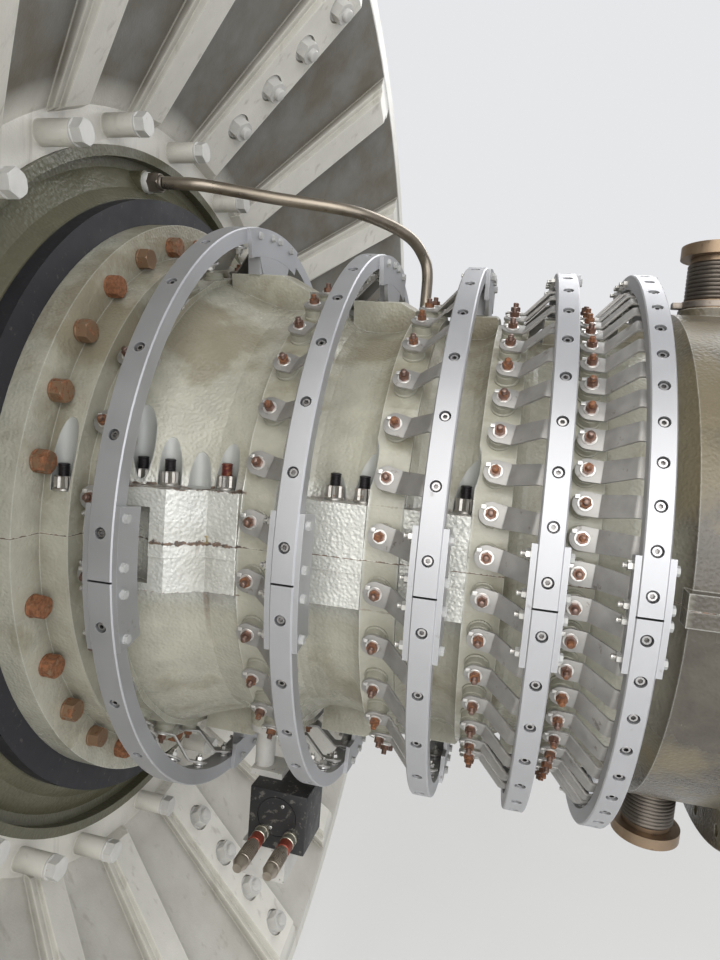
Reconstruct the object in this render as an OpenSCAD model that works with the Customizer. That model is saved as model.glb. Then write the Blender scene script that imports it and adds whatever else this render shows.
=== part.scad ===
// Compressor section of an industrial gas turbine, with five rings that turn its adjustable vanes.
// Millimetres. X runs along the turbine axis from the intake face to the rear flange, and Z is up.
// Angles round the axis are measured from the near side (-Y), and grow towards the top.

/* [Stages, front to back] */
// Vanes in each row
vane_counts = [26, 32, 32, 44, 56]; // [20:2:60]
// Distance of each ring's middle from the intake face
ring_x = [185.4, 349.8, 476.4, 577.6, 660]; // [100:0.1:800]
// Distance from each row of spindles to its ring's middle
lever_reach = [46.4, 51.9, 52.6, 53.2, 53.8]; // [40:0.1:60]
// Outer radius of each ring
ring_r = [373, 345, 333, 329.6, 330]; // [320:0.1:390]
// How far each ring is turned, near side down, as the photograph shows it
ring_turn = [4.28, 2.46, 2.06, 1.58, 0.73]; // [0:0.01:6]
// Radius of the casing's flats under each row of spindles
band_r = [308, 282, 269, 266, 265]; // [255:1:320]
// Height of each spindle's bush above its flat
bush_h = [12, 14, 14, 14, 14]; // [8:0.5:20]

/* [Rings] */
// Width of the first ring
first_ring_w = 25; // [20:0.5:32]
// Width of the other rings
ring_w = 22; // [18:0.5:28]
// Thickness of the first ring
first_ring_t = 18; // [14:0.5:22]
// Thickness of the other rings
ring_t = 16; // [12:0.5:20]
// Gap between the two halves of a ring
ring_gap = 2; // [1:0.5:4]
// Chamfer along a ring's outer edges
ring_chamfer = 1.2; // [0.5:0.1:2]
// Diameter of a ring screw's counterbore
counterbore_d = 11; // [10:0.5:13]
// Depth of a ring screw's counterbore
counterbore_depth = 7; // [4:0.5:9]
// Diameter of a ring screw's hole
ring_hole_d = 5.4; // [5:0.2:7]
// Thickness of a splice plate
plate_t = 5; // [3:0.5:8]
// Angle from a splice plate's middle to its two outer bolts
splice_outer = [9.2, 9.2, 9, 7.9, 7.1]; // [6:0.1:10]
// Angle from a splice plate's middle to its two inner bolts
splice_inner = [2, 2.3, 2.3, 1.7, 1.2]; // [1:0.1:3]
// Angle from a splice plate's outer bolts to its ends
splice_end = 1.7; // [1.4:0.1:2.5]
// Half the angle that a guide plate covers
guide_half = 13.8; // [11:0.1:15]
// Radial depth of a splice plate on the rear side
plate_depth = 34; // [26:1:38]
// Diameter of a splice bolt's hole
plate_hole_d = 5.4; // [5:0.2:7]
// Running clearance of a guide shoe on its casing lug
guide_gap = 0.3; // [0.2:0.1:1]

/* [Levers and spindles] */
// Thickness of a lever
lever_t = 2.5; // [2:0.1:4]
// Radius of a lever's round end on the spindle
lever_disc_r = [12.5, 12.5, 12.5, 11.5, 11.5]; // [9:0.1:14]
// Radius of a lever's end under the ring
lever_tip_r = [10, 9.5, 9.5, 9.5, 9.5]; // [8:0.5:10.5]
// Gap between a lever's end and the ring's inner face, for its washers
lever_gap = 4; // [3:0.5:5]
// Diameter of a spindle's bush
bush_d = 22; // [18:0.5:24]
// Diameter of a spindle's threaded end
stud_d = 6; // [5:0.5:8]
// Height of a spindle's threaded end above its lever
stud_h = 13; // [8:0.5:18]

/* [Casing] */
// Distance of the front flange's bolted face from the intake face
flange_x = 92; // [80:1:110]
// Radius of the front flange
flange_r = 373; // [365:1:378]
// Radius of the machined land behind the front flange
land_r = 333; // [328:1:336]
// Half the width of the flats under a row of spindles
band_half = 18; // [15:0.5:19]
// Smallest radius of the barrel between each pair of rows
bay_r = [272, 251, 249, 248]; // [244:1:274]
// Radius of the rear section
rear_r = 288; // [275:1:295]
// Length from the last ring's middle to the rear flange's face
rear_len = 165; // [155:1:200]
// Radius of the rear flange
rear_flange_r = 330; // [320:1:345]
// Thickness of the rear flange
rear_flange_t = 25; // [18:1:32]
// Radius of the rear flange's bolt circle
rear_bolt_r = 311; // [305:1:315]
// Holes in the rear flange
rear_holes = 24; // [16:4:40]
// Diameter of a rear flange hole
rear_hole_d = 14; // [10:0.5:18]
// Radius of the air duct at the front vanes
duct_front_r = 238; // [230:1:240]
// Radius of the air duct at the rear flange
duct_rear_r = 220; // [205:1:226]
// Height of the upper casing's split pads
pad_top = 54; // [44:1:58]
// Depth of the lower casing's split pads
pad_bottom = 50; // [40:1:56]
// Distance from the axis to the outer face of each bay's split pads
pad_y = [286, 272, 267]; // [262:1:290]
// Distance from the axis to the first pads' thick front part
pad_front_y = 312; // [304:1:314]
// Radius of the bolt pockets over the split pads
pocket_r = 11.5; // [9:0.5:12]

/* [Intake] */
// Radius of the intake opening at the front face
mouth_r = 262; // [255:1:270]
// Width of the dish's gutter, from the seal ring to the dish's rim
gutter_w = 61; // [52:1:72]
// Thickness of the dish at the casing's flange
dish_t = 43; // [38:1:50]
// Width of the black seal ring round the casing's flange
seal_w = 30; // [22:1:39]
// Thickness of the black seal ring
seal_t = 20; // [12:1:22]
// Width of the intake wall's front flange
wall_flange_w = 41; // [36:1:56]
// Thickness of the intake wall's front flange
wall_flange_t = 25; // [18:1:32]
// Width of the intake wall's cone, from its front flange to its rim
wall_cone_w = 315; // [275:5:355]
// Distance of the intake wall's outer rim from the front face
wall_rim_x = 246; // [220:2:260]
// Thickness of the intake wall's cone
wall_t = 16; // [12:1:24]
// Ribs round the intake wall
wall_ribs = 20; // [12:4:24]
// Height of an intake wall rib
rib_h = 34; // [24:1:44]
// Width of an intake wall rib's crest
rib_w = 46; // [30:1:56]
// Distance from the dish's rim to the circle of long bolt bosses
boss_inset = 21; // [16:1:26]
// Diameter of a long bolt boss
boss_d = 27; // [22:1:32]
// Distance of the long bosses' ends from the front face
boss_end_x = 66; // [50:1:90]

/* [Fittings] */
// Distance of the two bleed nozzles from the rear flange's face
nozzle_inset = 70; // [64:1:80]
// Outer diameter of a bleed nozzle
nozzle_d = 60; // [48:1:66]
// Distance from the axis to a bleed nozzle's end face
nozzle_top = 372; // [350:1:400]
// Outer diameter of the sealing air pipe
pipe_d = 16; // [12:1:20]
// Width of the sensor housing
sensor_w = 77; // [60:1:79]
// Height of the sensor housing
sensor_h = 79; // [64:1:84]

/* [Hidden] */

// Facets of round shapes in the preview
$fn = 96;
// Amount by which a cut passes a face, so that no skin is left
over = 1;
// Reach of the blocks that cut the casing and the wall in two
far = 1000;

// Radii of the seal ring, the dish, the intake wall and its bosses, each from the one inside it
seal_r = flange_r + seal_w;
dish_r = seal_r + gutter_w;
wall_r = dish_r + wall_flange_w;
wall_rim_r = wall_r + wall_cone_w;
boss_circle_r = dish_r + boss_inset;
// Length from the intake face to the rear flange's face, and the nozzles' place along it
casing_len = ring_x[4] + rear_len;
nozzle_x = casing_len - nozzle_inset;

// Width and thickness of ring k
function width_of(k) = k == 0 ? first_ring_w : ring_w;
function thick_of(k) = k == 0 ? first_ring_t : ring_t;
// Inner radius of ring k
function inner_of(k) = ring_r[k] - thick_of(k);
// Place of row k's spindles along the axis
function spindle_x(k) = ring_x[k] - lever_reach[k];
// Radius of the underside of row k's levers on their bushes
function lever_r(k) = band_r[k] + bush_h[k];
// Height that row k's levers climb, so that their swung ends stay inside the ring
function lever_rise(k) = sqrt(pow(inner_of(k), 2) - pow(lever_drop(k) + lever_tip_r[k], 2))
    - lever_gap - lever_t - lever_r(k);
// Distance that ring k's holes lie below their spindles, round the axis
function lever_drop(k) = inner_of(k) * sin(ring_turn[k]);
// Length of row k's levers between their two centres, and their swing
function lever_len(k) = norm([lever_reach[k], lever_drop(k)]);
function lever_swing(k) = atan2(lever_drop(k), lever_reach[k]);
// Angle of vane i of row k
function vane_angle(k, i) = (i + 0.5) * 360 / vane_counts[k];
// Start and end of the barrel between row k and row k + 1
function bay_start(k) = spindle_x(k) + band_half;
function bay_end(k) = spindle_x(k + 1) - band_half;
// Radius of the barrel a share t of the way across bay k: least at bay_low, and full at both bands
bay_edge_drop = 6;
bay_low = [0.7, 0.5, 0.5, 0.5];
bay_hollow = [1.3, 3.2, 3.2, 3.2];
function bay_edge(k, t) = (t < bay_low[k] ? band_r[k] : band_r[k + 1]) - bay_edge_drop;
function bay_radius(k, t) = bay_r[k] + max(0, bay_edge(k, t) - bay_r[k])
    * pow(t < bay_low[k] ? 1 - t / bay_low[k] : (t - bay_low[k]) / (1 - bay_low[k]), bay_hollow[k]);
// Outline of the barrel in bay k, in a few steps
bay_steps = 10;
function bay_points(k) = [for (i = [0:bay_steps]) let (t = i / bay_steps)
    [bay_radius(k, t), bay_start(k) + t * (bay_end(k) - bay_start(k))]];
// Point of the turbine at a distance along the axis, a radius and an angle
function at(x, r, a) = [x, -r * cos(a), r * sin(a)];

// Pockets over the split bolts: distance along the axis, bay, and distance inside the pad's face
bay_pockets = [[169.5, 0, 8], [200, 0, 8], [230, 0, 14], [257, 0, 20], [368, 1, 21], [398, 1, 21],
    [498, 2, 21]];
// The first pads' plan: the ramp behind their thick part, and the strip along the split
pad_ramp = [58, 90];
strip_h = 14;
strip_proud = 2;
// Upright pockets in the first pads, beside the first ring
slot_x = 178;
slot_r = 21;
slot_out = 4;
slot_z = [-42, 35];
pocket_len = 100;
land_bolt_x = 110.5;
land_pocket_floor = 44;
land_pocket_y = 324;
land_pocket_len = 90;
// Start of the flats under the first row, and the forms behind the last row
land_end_x = 124;
rear_start_x = ring_x[4] + 40;
rear_neck_x = ring_x[4] + 12;
neck_r = 256;
rear_pad_h = 15;
rear_pad_y = 302;
// Lugs that the guide feet run on, at top and bottom
lug_r = [316, 289, 277, 276, 276];
lug_front = [24, 23, 18, 18, 18];
lug_rear = [44, 36, 27, 14, 30];
// Length and drop of the ramp behind each lug
lug_ramp = [38, 19, 3, 2, 2];
lug_drop = [19, 10, 3, 2, 2];
lug_half_w = 70;
// Shoes of the guides, in steps of a vane's pitch from the middle, half their width, and how far
// in front of the plate they start
shoe_places = [[-0.5, 0.5], [0], [0], [-1, 1], [-1, 1]];
shoe_half_w = [13, 13, 13, 8, 8];
shoe_front = [12, 12, 12, 12, -1];
shoe_len = 16;
// Radius of the lobe of each guide plate that reaches down to the lug, 0 where it has none,
// and the share of it by which its centre lies above the lug
lobe_r = [58, 46, 46, 0, 42];
lobe_rise = 0.65;
lobe_inset = 0.2;
splice_bolt_inset = 9;
// Vanes and hub behind the intake mouth
hub_front_r = 128;
hub_rear_r = 150;
hub_wall = 10;
hub_x = [4, 166];
hub_flat_x = 100;
guide_vane_chord = 56;
guide_vane_t = 8;
vane_clear = 0.5;
drum_front_x = 170;
drum_rear_r = 182;
journal_r = 60;
journal_gap = 0.3;
blade_row_x = casing_len - 50;
drum_tail = 16;
rotor_blades = 40;
blade_clear = 2;

// Turns a profile of [radius, distance along the axis] points round the X axis
module revolve(points, angle = 360) {
    rotate([0, 90, 0]) rotate_extrude(angle = angle) polygon(points);
}

// Places a shape with its Z along the radius and its X along the axis
module on_radius(x, r, a) {
    translate([x, 0, 0]) rotate([90 - a, 0, 0]) translate([0, 0, r]) children();
}

// An arc of a section of [radius, distance along the axis] points, centred on an angle
module arc_of(points, a, half) {
    rotate([180 - a - half, 0, 0]) rotate([0, 90, 0]) rotate([0, 0, 90])
        rotate_extrude(angle = 2 * half) polygon(points);
}

// A ring of flats, one to each spindle
module flats(k) {
    n = vane_counts[k];
    corner_r = band_r[k] / cos(180 / n);
    x0 = k == 0 ? land_end_x : spindle_x(k) - band_half;
    translate([x0, 0, 0]) rotate([0, 90, 0])
        linear_extrude(spindle_x(k) + band_half - x0)
            polygon([for (i = [0:n - 1]) corner_r * [sin(i * 360 / n), cos(i * 360 / n)]]);
}

// The turned form of the casing, without its flats
module barrel() {
    revolve(concat(
        [[mouth_r, dish_t], [flange_r, dish_t], [flange_r, flange_x],
         [land_r, flange_x], [land_r, land_end_x]],
        [[neck_r + 10, land_end_x + 1]],
        bay_points(0), bay_points(1), bay_points(2), bay_points(3),
        [[neck_r, spindle_x(4) + band_half], [neck_r, rear_neck_x],
         [rear_r, rear_start_x], [rear_r, casing_len - rear_flange_t],
         [rear_flange_r, casing_len - rear_flange_t], [rear_flange_r, casing_len],
         [duct_rear_r, casing_len], [duct_front_r, flange_x + 20], [duct_front_r + 8, flange_x - 20]]));
}

// Plan of bay k's split pad, with its face set in by a distance
function pad_plan(k, inset) = let (inner = duct_front_r + 6, x0 = bay_start(k), x1 = bay_end(k))
    concat(k > 0 ? [[x0, pad_y[k] - inset]] : [[x0, pad_front_y - inset],
        [x0 + pad_ramp[0], pad_front_y - inset], [x0 + pad_ramp[1], pad_y[0] - inset]],
        [[x1, pad_y[k] - inset], [x1, inner], [x0, inner]]);

// Pads along the split on both sides; the strip beside the split stands out a little
module split_pads(side) {
    for (mirrored = [0, 1]) mirror([0, mirrored, 0]) {
        for (k = [0:2]) {
            translate([0, 0, -strip_h]) linear_extrude(strip_h + pad_top) polygon(pad_plan(k, 0));
            if (side < 0) translate([0, 0, -pad_bottom])
                linear_extrude(pad_bottom) polygon(pad_plan(k, strip_proud));
        }
        translate([rear_start_x - 6, neck_r - 14, -rear_pad_h])
            cube([casing_len - rear_flange_t - rear_start_x + 6, rear_pad_y - neck_r + 14, 2 * rear_pad_h]);
    }
}

// Pockets over the split bolts
module bolt_pockets() {
    for (side = [-1, 1]) {
        for (b = bay_pockets)
            translate([b[0], side * (pad_y[b[1]] - b[2]), pad_top])
                cylinder(r = pocket_r, h = pocket_len);
        translate([land_bolt_x, side * land_pocket_y, land_pocket_floor])
            cylinder(r = pocket_r, h = land_pocket_len);
    }
}

// Lug that ring k's guide shoes run on; side is 1 at the top and -1 at the bottom
module guide_lug(k, side) {
    x0 = ring_x[k] - lug_front[k];
    x1 = ring_x[k] + lug_rear[k];
    base = duct_front_r + 4;
    arc_of([[base, x0], [lug_r[k], x0], [lug_r[k], x1], [lug_r[k] - lug_drop[k], x1 + lug_ramp[k]],
        [base, x1 + lug_ramp[k]]], side * 90, asin(lug_half_w / lug_r[k]));
}

// Boss on the barrel that the sealing air pipe enters
module pipe_boss() {
    on_radius(pipe_end[0], duct_front_r + 4, pipe_end[2])
        cylinder(d = pipe_d + 12, h = pipe_boss_r - duct_front_r - 4);
}

// Flat boss under the barrel that carries the sensor's bracket
module sensor_boss() {
    translate([sensor_post_x, sensor_post_y, sensor_boss_z])
        cylinder(d = sensor_boss_d, h = -sensor_boss_z - duct_front_r + 20);
}

// Seat of a bleed nozzle
module nozzle_seat(side) {
    translate([nozzle_x, 0, side > 0 ? duct_rear_r + 20 : -rear_r - 8])
        cylinder(d = nozzle_d + 16, h = rear_r + 8 - duct_rear_r - 20);
}

// One half of the casing; side is 1 for the upper half and -1 for the lower
module casing_half(side) {
    difference() {
        union() {
            barrel();
            difference() {
                for (k = [0:4]) flats(k);
                translate([flange_x, 0, 0]) rotate([0, 90, 0])
                    cylinder(r = neck_r - 12, h = casing_len);
            }
            split_pads(side);
            for (k = [0:4]) guide_lug(k, side);
            nozzle_seat(side);
            if (side > 0) pipe_boss();
            if (side < 0) sensor_boss();
        }
        translate([-far / 2, -far, side > 0 ? -2 * far : 0]) cube([2 * far, 2 * far, 2 * far]);
        if (side > 0) bolt_pockets();
        if (side < 0) translate([sensor_post_x, sensor_post_y, -far])
            cylinder(d = sensor_boss_d + 2 * lug_relief, h = far + sensor_boss_z);
        for (near = [-1, 1])
            translate([slot_x, near * (pad_front_y + slot_out), slot_z[0]])
                cylinder(r = slot_r, h = slot_z[1] - slot_z[0]);
        for (i = [0:rear_holes - 1])
            rotate([(i + 0.5) * 360 / rear_holes, 0, 0])
                translate([casing_len - rear_flange_t - over, 0, rear_bolt_r]) rotate([0, 90, 0])
                    cylinder(d = rear_hole_d, h = rear_flange_t + 2 * over);
        translate([nozzle_x, 0, side > 0 ? 0 : -rear_r - 10])
            cylinder(d = nozzle_d - 16, h = rear_r + 10);
    }
}

module casing_upper_half() { color("#b9bcab") casing_half(1); }
module casing_lower_half() { color("#b4b7a7") casing_half(-1); }

module seal_ring() {
    color("#1c1c20") revolve([[flange_r + 0.3, dish_t], [seal_r, dish_t],
        [seal_r, dish_t + seal_t], [flange_r + 0.3, dish_t + seal_t]]);
}

// The dish: a thick plate inside, a gutter outside and a lip round its rim
dish_lip_t = 12;
dish_lip_x = 31;
dish_holes = 12;
dish_hole_r = 9;
dish_hole_circle = 285;
module intake_dish() {
    color("#8d8b62") difference() {
        revolve([[mouth_r, 0], [dish_r, 0], [dish_r, dish_lip_x], [dish_r - dish_lip_t, dish_lip_x],
            [dish_r - dish_lip_t, 16], [dish_r - dish_lip_t - 12, 15], [seal_r + 14, 30],
            [seal_r + 2, dish_t], [mouth_r, dish_t]]);
        for (i = [0:dish_holes - 1])
            rotate([(i + 0.5) * 360 / dish_holes, 0, 0]) translate([-over, 0, dish_hole_circle])
                rotate([0, 90, 0]) cylinder(r = dish_hole_r, h = dish_t + 2 * over);
    }
    color("#8d8b62") translate(at(pipe_stub_x - 26, pipe_start[1], pipe_start[2]))
        rotate([0, 90, 0]) cylinder(d = pipe_d + 14, h = 26);
}

// The intake wall: a flange, a cone with radial ribs, an outer rim and long bosses for its bolts
wall_gap = 0.3;
rim_w = 34;
rim_t = 26;
boss_angles = concat([for (j = [0:4]) 12 + 15 * j], [90], [for (j = [0:4]) 168 - 15 * j]);
rib_step = 9;
rib_foot = 0.55;
// The rib where two castings join: its place in the row, its width and its pockets for nuts
joint_rib = 5;
joint_rib_w = 70;
nut_pockets = 4;
nut_pocket_r = 20;
nut_pocket_depth = 6;
nut_first = 73;
nut_pitch = 75;
// One layer of a rib: its width, and the share of the rib's height that it reaches
module rib_layer(w, share) {
    slope_x = wall_rim_x - wall_flange_t;
    slope_r = wall_rim_r - wall_r;
    translate([0, w / 2, 0]) rotate([90, 0, 0]) linear_extrude(w) polygon([
        [wall_flange_t - 4, wall_r - 6], [wall_flange_t + rib_h * 0.5 * share, wall_r - 1],
        [wall_rim_x, wall_rim_r - slope_r * 0.16 * share], [wall_rim_x, wall_rim_r - 4],
        [wall_rim_x - slope_x * 0.08, wall_rim_r - 4]]);
}
// A rib at an angle: a wide foot with a crest, and a row of nut pockets where two castings join
module wall_rib(a, joint) {
    w = joint ? joint_rib_w : rib_w;
    crest_0 = [wall_flange_t + rib_h * 0.5, wall_r - 1];
    crest_1 = [wall_rim_x, wall_rim_r - (wall_rim_r - wall_r) * 0.16];
    tilt = atan2(crest_1[0] - crest_0[0], crest_1[1] - crest_0[1]);
    rotate([90 - a, 0, 0]) difference() {
        union() {
            rib_layer(w + 2 * rib_step, rib_foot);
            rib_layer(w, 1);
        }
        if (joint) for (i = [0:nut_pockets - 1])
            translate([crest_0[0], 0, crest_0[1]]) rotate([0, tilt, 0])
                translate([-nut_pocket_depth, 0, nut_first + i * nut_pitch])
                    rotate([0, 90, 0]) cylinder(r = nut_pocket_r, h = rib_h);
    }
}
module intake_wall(side) {
    difference() {
        union() {
            revolve([[dish_r + wall_gap, 0], [wall_r + 10, 0], [wall_rim_r + wall_t, wall_rim_x - rim_t],
                [wall_rim_r + rim_w, wall_rim_x - rim_t], [wall_rim_r + rim_w, wall_rim_x],
                [wall_rim_r - 2, wall_rim_x], [wall_r, wall_flange_t],
                [dish_r + wall_gap, wall_flange_t]]);
            for (i = [0:wall_ribs / 2 - 1]) wall_rib(side * (i + 0.5) * 360 / wall_ribs, i == joint_rib);
            for (a = boss_angles)
                translate(at(wall_flange_t - over, boss_circle_r, side * a))
                    rotate([0, 90, 0]) cylinder(d = boss_d, h = boss_end_x - wall_flange_t + over);
        }
        translate([-far, -far, side > 0 ? -2 * far : 0]) cube([2 * far, 2 * far, 2 * far]);
    }
}
module intake_wall_upper() { color("#d8d5cc") intake_wall(1); }
module intake_wall_lower() { color("#d2cfc6") intake_wall(-1); }

// The bearing housing inside the mouth: a cone with a wall that holds the rotor's journal
module front_hub() {
    bore_r = journal_r + journal_gap;
    wall_x = hub_x[1] - hub_wall;
    color("#a9a99c") revolve([[hub_front_r - hub_wall, hub_x[0]], [hub_front_r, hub_x[0]],
        [hub_rear_r, hub_flat_x], [hub_rear_r, hub_x[1]], [bore_r, hub_x[1]], [bore_r, wall_x - 30],
        [bore_r + hub_wall, wall_x - 30], [bore_r + hub_wall, wall_x],
        [hub_rear_r - 2 * hub_wall, wall_x]]);
}

// First row of vanes, between the hub and the duct, each a thin lens in section
guide_vane_twist = 24;
lens_facets = 360;
duct_slope = (duct_rear_r - duct_front_r) / (casing_len - flange_x - 20);
module guide_vane() {
    lens_r = (pow(guide_vane_chord / 2, 2) + pow(guide_vane_t / 2, 2)) / guide_vane_t;
    x1 = spindle_x(0) + guide_vane_chord / 2;
    top_r = duct_front_r + duct_slope * (x1 - flange_x - 20) - vane_clear - 0.4;
    span = top_r - hub_rear_r - vane_clear;
    translate([0, 0, hub_rear_r + vane_clear]) intersection() {
        translate([0, lens_r - guide_vane_t / 2, 0]) cylinder(r = lens_r, h = span, $fn = lens_facets);
        translate([0, guide_vane_t / 2 - lens_r, 0]) cylinder(r = lens_r, h = span, $fn = lens_facets);
    }
}
module inlet_guide_vanes() {
    color("#8f9090") for (i = [0:vane_counts[0] - 1])
        on_radius(spindle_x(0), 0, vane_angle(0, i)) rotate([0, 0, guide_vane_twist]) guide_vane();
}

// The rotor's drum, carried by its journal in the front hub, with its last row of blades
module rotor_drum() {
    drum_front_r = hub_rear_r;
    journal_x = hub_x[1] - hub_wall - 30;
    x1 = blade_row_x + drum_tail;
    color("#77756f") {
        revolve([[0, journal_x], [journal_r, journal_x], [journal_r, drum_front_x],
            [drum_front_r, drum_front_x], [drum_rear_r, blade_row_x - 30], [drum_rear_r, x1],
            [drum_rear_r - 40, x1], [drum_rear_r - 60, x1 - 16], [journal_r + 30, x1 - 16],
            [journal_r + 30, x1], [0, x1]]);
        for (i = [0:rotor_blades - 1])
            rotate([i * 360 / rotor_blades, 0, 0]) translate([blade_row_x, 0, drum_rear_r - 2])
                rotate([0, 0, 35]) translate([-14, -1.5, 0])
                    cube([28, 3, duct_rear_r - blade_clear - drum_rear_r]);
    }
}

// Spindles of row k: a bush on each flat, with the vane's threaded end through it
module vane_spindles(k) {
    color("#a7a699") for (i = [0:vane_counts[k] - 1])
        on_radius(spindle_x(k), band_r[k], vane_angle(k, i)) {
            cylinder(d = bush_d, h = bush_h[k]);
            cylinder(d = stud_d, h = bush_h[k] + lever_t + stud_h);
        }
}

// One cranked lever, with its spindle hole at the origin and its tip along X
lever_hole_gap = 0.3;
lever_bend_x = 14;
lever_top_x = 40;
flank_inset = 0.03;
module lever(k) {
    len = lever_len(k);
    rise = lever_rise(k);
    disc = lever_disc_r[k];
    tip = lever_tip_r[k];
    flank = asin((disc - tip) / len);
    disc_r = disc - flank_inset;
    tip_r = tip - flank_inset;
    difference() {
        intersection() {
            translate([0, disc + over, 0]) rotate([90, 0, 0]) linear_extrude(2 * (disc + over))
                polygon([[-disc - over, 0], [lever_bend_x, 0], [lever_top_x, rise],
                    [len + tip + over, rise], [len + tip + over, rise + lever_t],
                    [lever_top_x - 1, rise + lever_t], [lever_bend_x - 1, lever_t],
                    [-disc - over, lever_t]]);
            translate([0, 0, -over]) union() {
                cylinder(r = disc, h = rise + lever_t + 2 * over);
                translate([len, 0, 0]) cylinder(r = tip, h = rise + lever_t + 2 * over);
                linear_extrude(rise + lever_t + 2 * over) polygon([
                    disc_r * [sin(flank), cos(flank)], [len, 0] + tip_r * [sin(flank), cos(flank)],
                    [len, 0] + tip_r * [sin(flank), -cos(flank)], disc_r * [sin(flank), -cos(flank)]]);
            }
        }
        translate([0, 0, -over])
            cylinder(d = stud_d + 2 * lever_hole_gap, h = rise + lever_t + 2 * over);
        translate([len, 0, -over]) cylinder(d = ring_hole_d, h = rise + lever_t + 2 * over);
    }
}
module vane_levers(k) {
    color("#8a8a8c") for (i = [0:vane_counts[k] - 1])
        on_radius(spindle_x(k), lever_r(k), vane_angle(k, i))
            rotate([0, 0, -lever_swing(k)]) lever(k);
}

// Ring k: two halves with a gap at each split, and a counterbored screw hole over each lever
module unison_ring(k) {
    w = width_of(k);
    half = 90 - asin(ring_gap / 2 / ring_r[k]);
    c = ring_chamfer;
    color("#b3b8c0") rotate([ring_turn[k], 0, 0]) difference() {
        for (a = [90, 270])
            rotate([180 - a - half, 0, 0]) rotate([0, 90, 0]) rotate([0, 0, 90])
                rotate_extrude(angle = 2 * half) translate([0, ring_x[k] - w / 2])
                    polygon([[inner_of(k), 0], [ring_r[k] - c, 0], [ring_r[k], c],
                        [ring_r[k], w - c], [ring_r[k] - c, w], [inner_of(k), w]]);
        for (i = [0:vane_counts[k] - 1])
            on_radius(ring_x[k], inner_of(k), vane_angle(k, i)) {
                translate([0, 0, -over]) cylinder(d = ring_hole_d, h = thick_of(k) + 2 * over);
                translate([0, 0, thick_of(k) - counterbore_depth])
                    cylinder(d = counterbore_d, h = counterbore_depth + over);
            }
    }
}

// An arc plate on a ring's side, with four bolt holes
module arc_plate(k, a, x0, depth, half) {
    r1 = ring_r[k] - ring_chamfer;
    difference() {
        arc_of([[r1 - depth, x0], [r1, x0], [r1, x0 + plate_t], [r1 - depth, x0 + plate_t]], a, half);
        for (b = [-splice_outer[k], -splice_inner[k], splice_inner[k], splice_outer[k]])
            rotate([90 - a - b, 0, 0]) translate([x0 - over, 0, r1 - splice_bolt_inset])
                rotate([0, 90, 0]) cylinder(d = plate_hole_d, h = plate_t + 2 * over);
    }
}
module splice_plates(k) {
    half_w = width_of(k) / 2;
    half = splice_outer[k] + splice_end;
    color("#a4a9b0") rotate([ring_turn[k], 0, 0]) for (a = [0, 180]) {
        arc_plate(k, a, ring_x[k] + half_w, plate_depth, half);
        arc_plate(k, a, ring_x[k] - half_w - plate_t, thick_of(k) - ring_chamfer, half);
    }
}

// Guides of ring k at top and bottom: an arc plate with a lobe and shoes that run on the casing's lug
module guide_pads(k) {
    plate_x = ring_x[k] + width_of(k) / 2;
    shoe_x = plate_x - shoe_front[k];
    plate_r0 = ring_r[k] - ring_chamfer - plate_depth;
    pitch = 360 / vane_counts[k];
    color("#9fa4aa") rotate([ring_turn[k], 0, 0]) for (a = [90, 270]) {
        arc_plate(k, a, plate_x, plate_depth, guide_half);
        difference() {
            union() {
                if (lobe_r[k] > 0) intersection() {
                    on_radius(plate_x + lobe_inset, lug_r[k] + lobe_rise * lobe_r[k], a)
                        rotate([0, 90, 0]) cylinder(r = lobe_r[k], h = plate_t - 2 * lobe_inset);
                    translate([plate_x, 0, 0]) rotate([0, 90, 0]) cylinder(r = plate_r0 + over, h = plate_t);
                }
                for (s = shoe_places[k])
                    on_radius(shoe_x, 0, a) rotate([s * pitch, 0, 0])
                        translate([0, -shoe_half_w[k], lug_r[k] - 8])
                            cube([shoe_len, 2 * shoe_half_w[k], inner_of(k) - lug_r[k] + 7]);
            }
            translate([shoe_x - over, 0, 0]) rotate([0, 90, 0])
                cylinder(r = lug_r[k] + guide_gap, h = shoe_len + 2 * over);
        }
    }
}

// Bleed nozzles at top and bottom of the rear section, each a flanged stub
nozzle_wall = 7;
nozzle_flange_d = 84;
nozzle_flange_t = 14;
module bleed_nozzles() {
    seat = rear_r + 8;
    color("#8b7257") for (side = [0, 180])
        rotate([side, 0, 0]) translate([nozzle_x, 0, 0]) difference() {
            union() {
                translate([0, 0, seat]) cylinder(d = nozzle_d, h = nozzle_top - seat);
                translate([0, 0, nozzle_top - nozzle_flange_t])
                    cylinder(d = nozzle_flange_d, h = nozzle_flange_t);
                translate([0, 0, seat]) cylinder(d = nozzle_d + 12, h = 10);
            }
            translate([0, 0, seat - over])
                cylinder(d = nozzle_d - 2 * nozzle_wall, h = nozzle_top - seat + 2 * over);
        }
}

// Ends of the sealing air pipe: distance along the axis, radius and angle
pipe_stub_x = 34;
pipe_start = [60, ring_r[0] + 53, 80];
pipe_boss_r = bay_r[1] + 13;
pipe_end = [ring_x[1] + 40, pipe_boss_r + 12, 113];
pipe_joint_gap = 0.3;
// Route of the sealing air pipe, from the dish over the first two rings to the barrel
pipe_route = [at(pipe_start[0], pipe_start[1], pipe_start[2]),
    at(pipe_start[0] + 36, pipe_start[1], 81), at(pipe_start[0] + 68, pipe_start[1] - 2, 83),
    at(ring_x[0] + 15, pipe_start[1] - 10, 86), at(ring_x[1] - 60, pipe_start[1] - 16, 90),
    at(ring_x[1] - 16, pipe_start[1] - 18, 96), at(ring_x[1] + 16, pipe_start[1] - 24, 101),
    at(ring_x[1] + 33, pipe_start[1] - 38, 105), at(pipe_end[0], pipe_start[1] - 58, 107),
    at(pipe_end[0], pipe_end[1] + 54, 110), at(pipe_end[0], pipe_end[1], pipe_end[2])];
pipe_sides = 12;
pipe_steps = 4;
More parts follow.
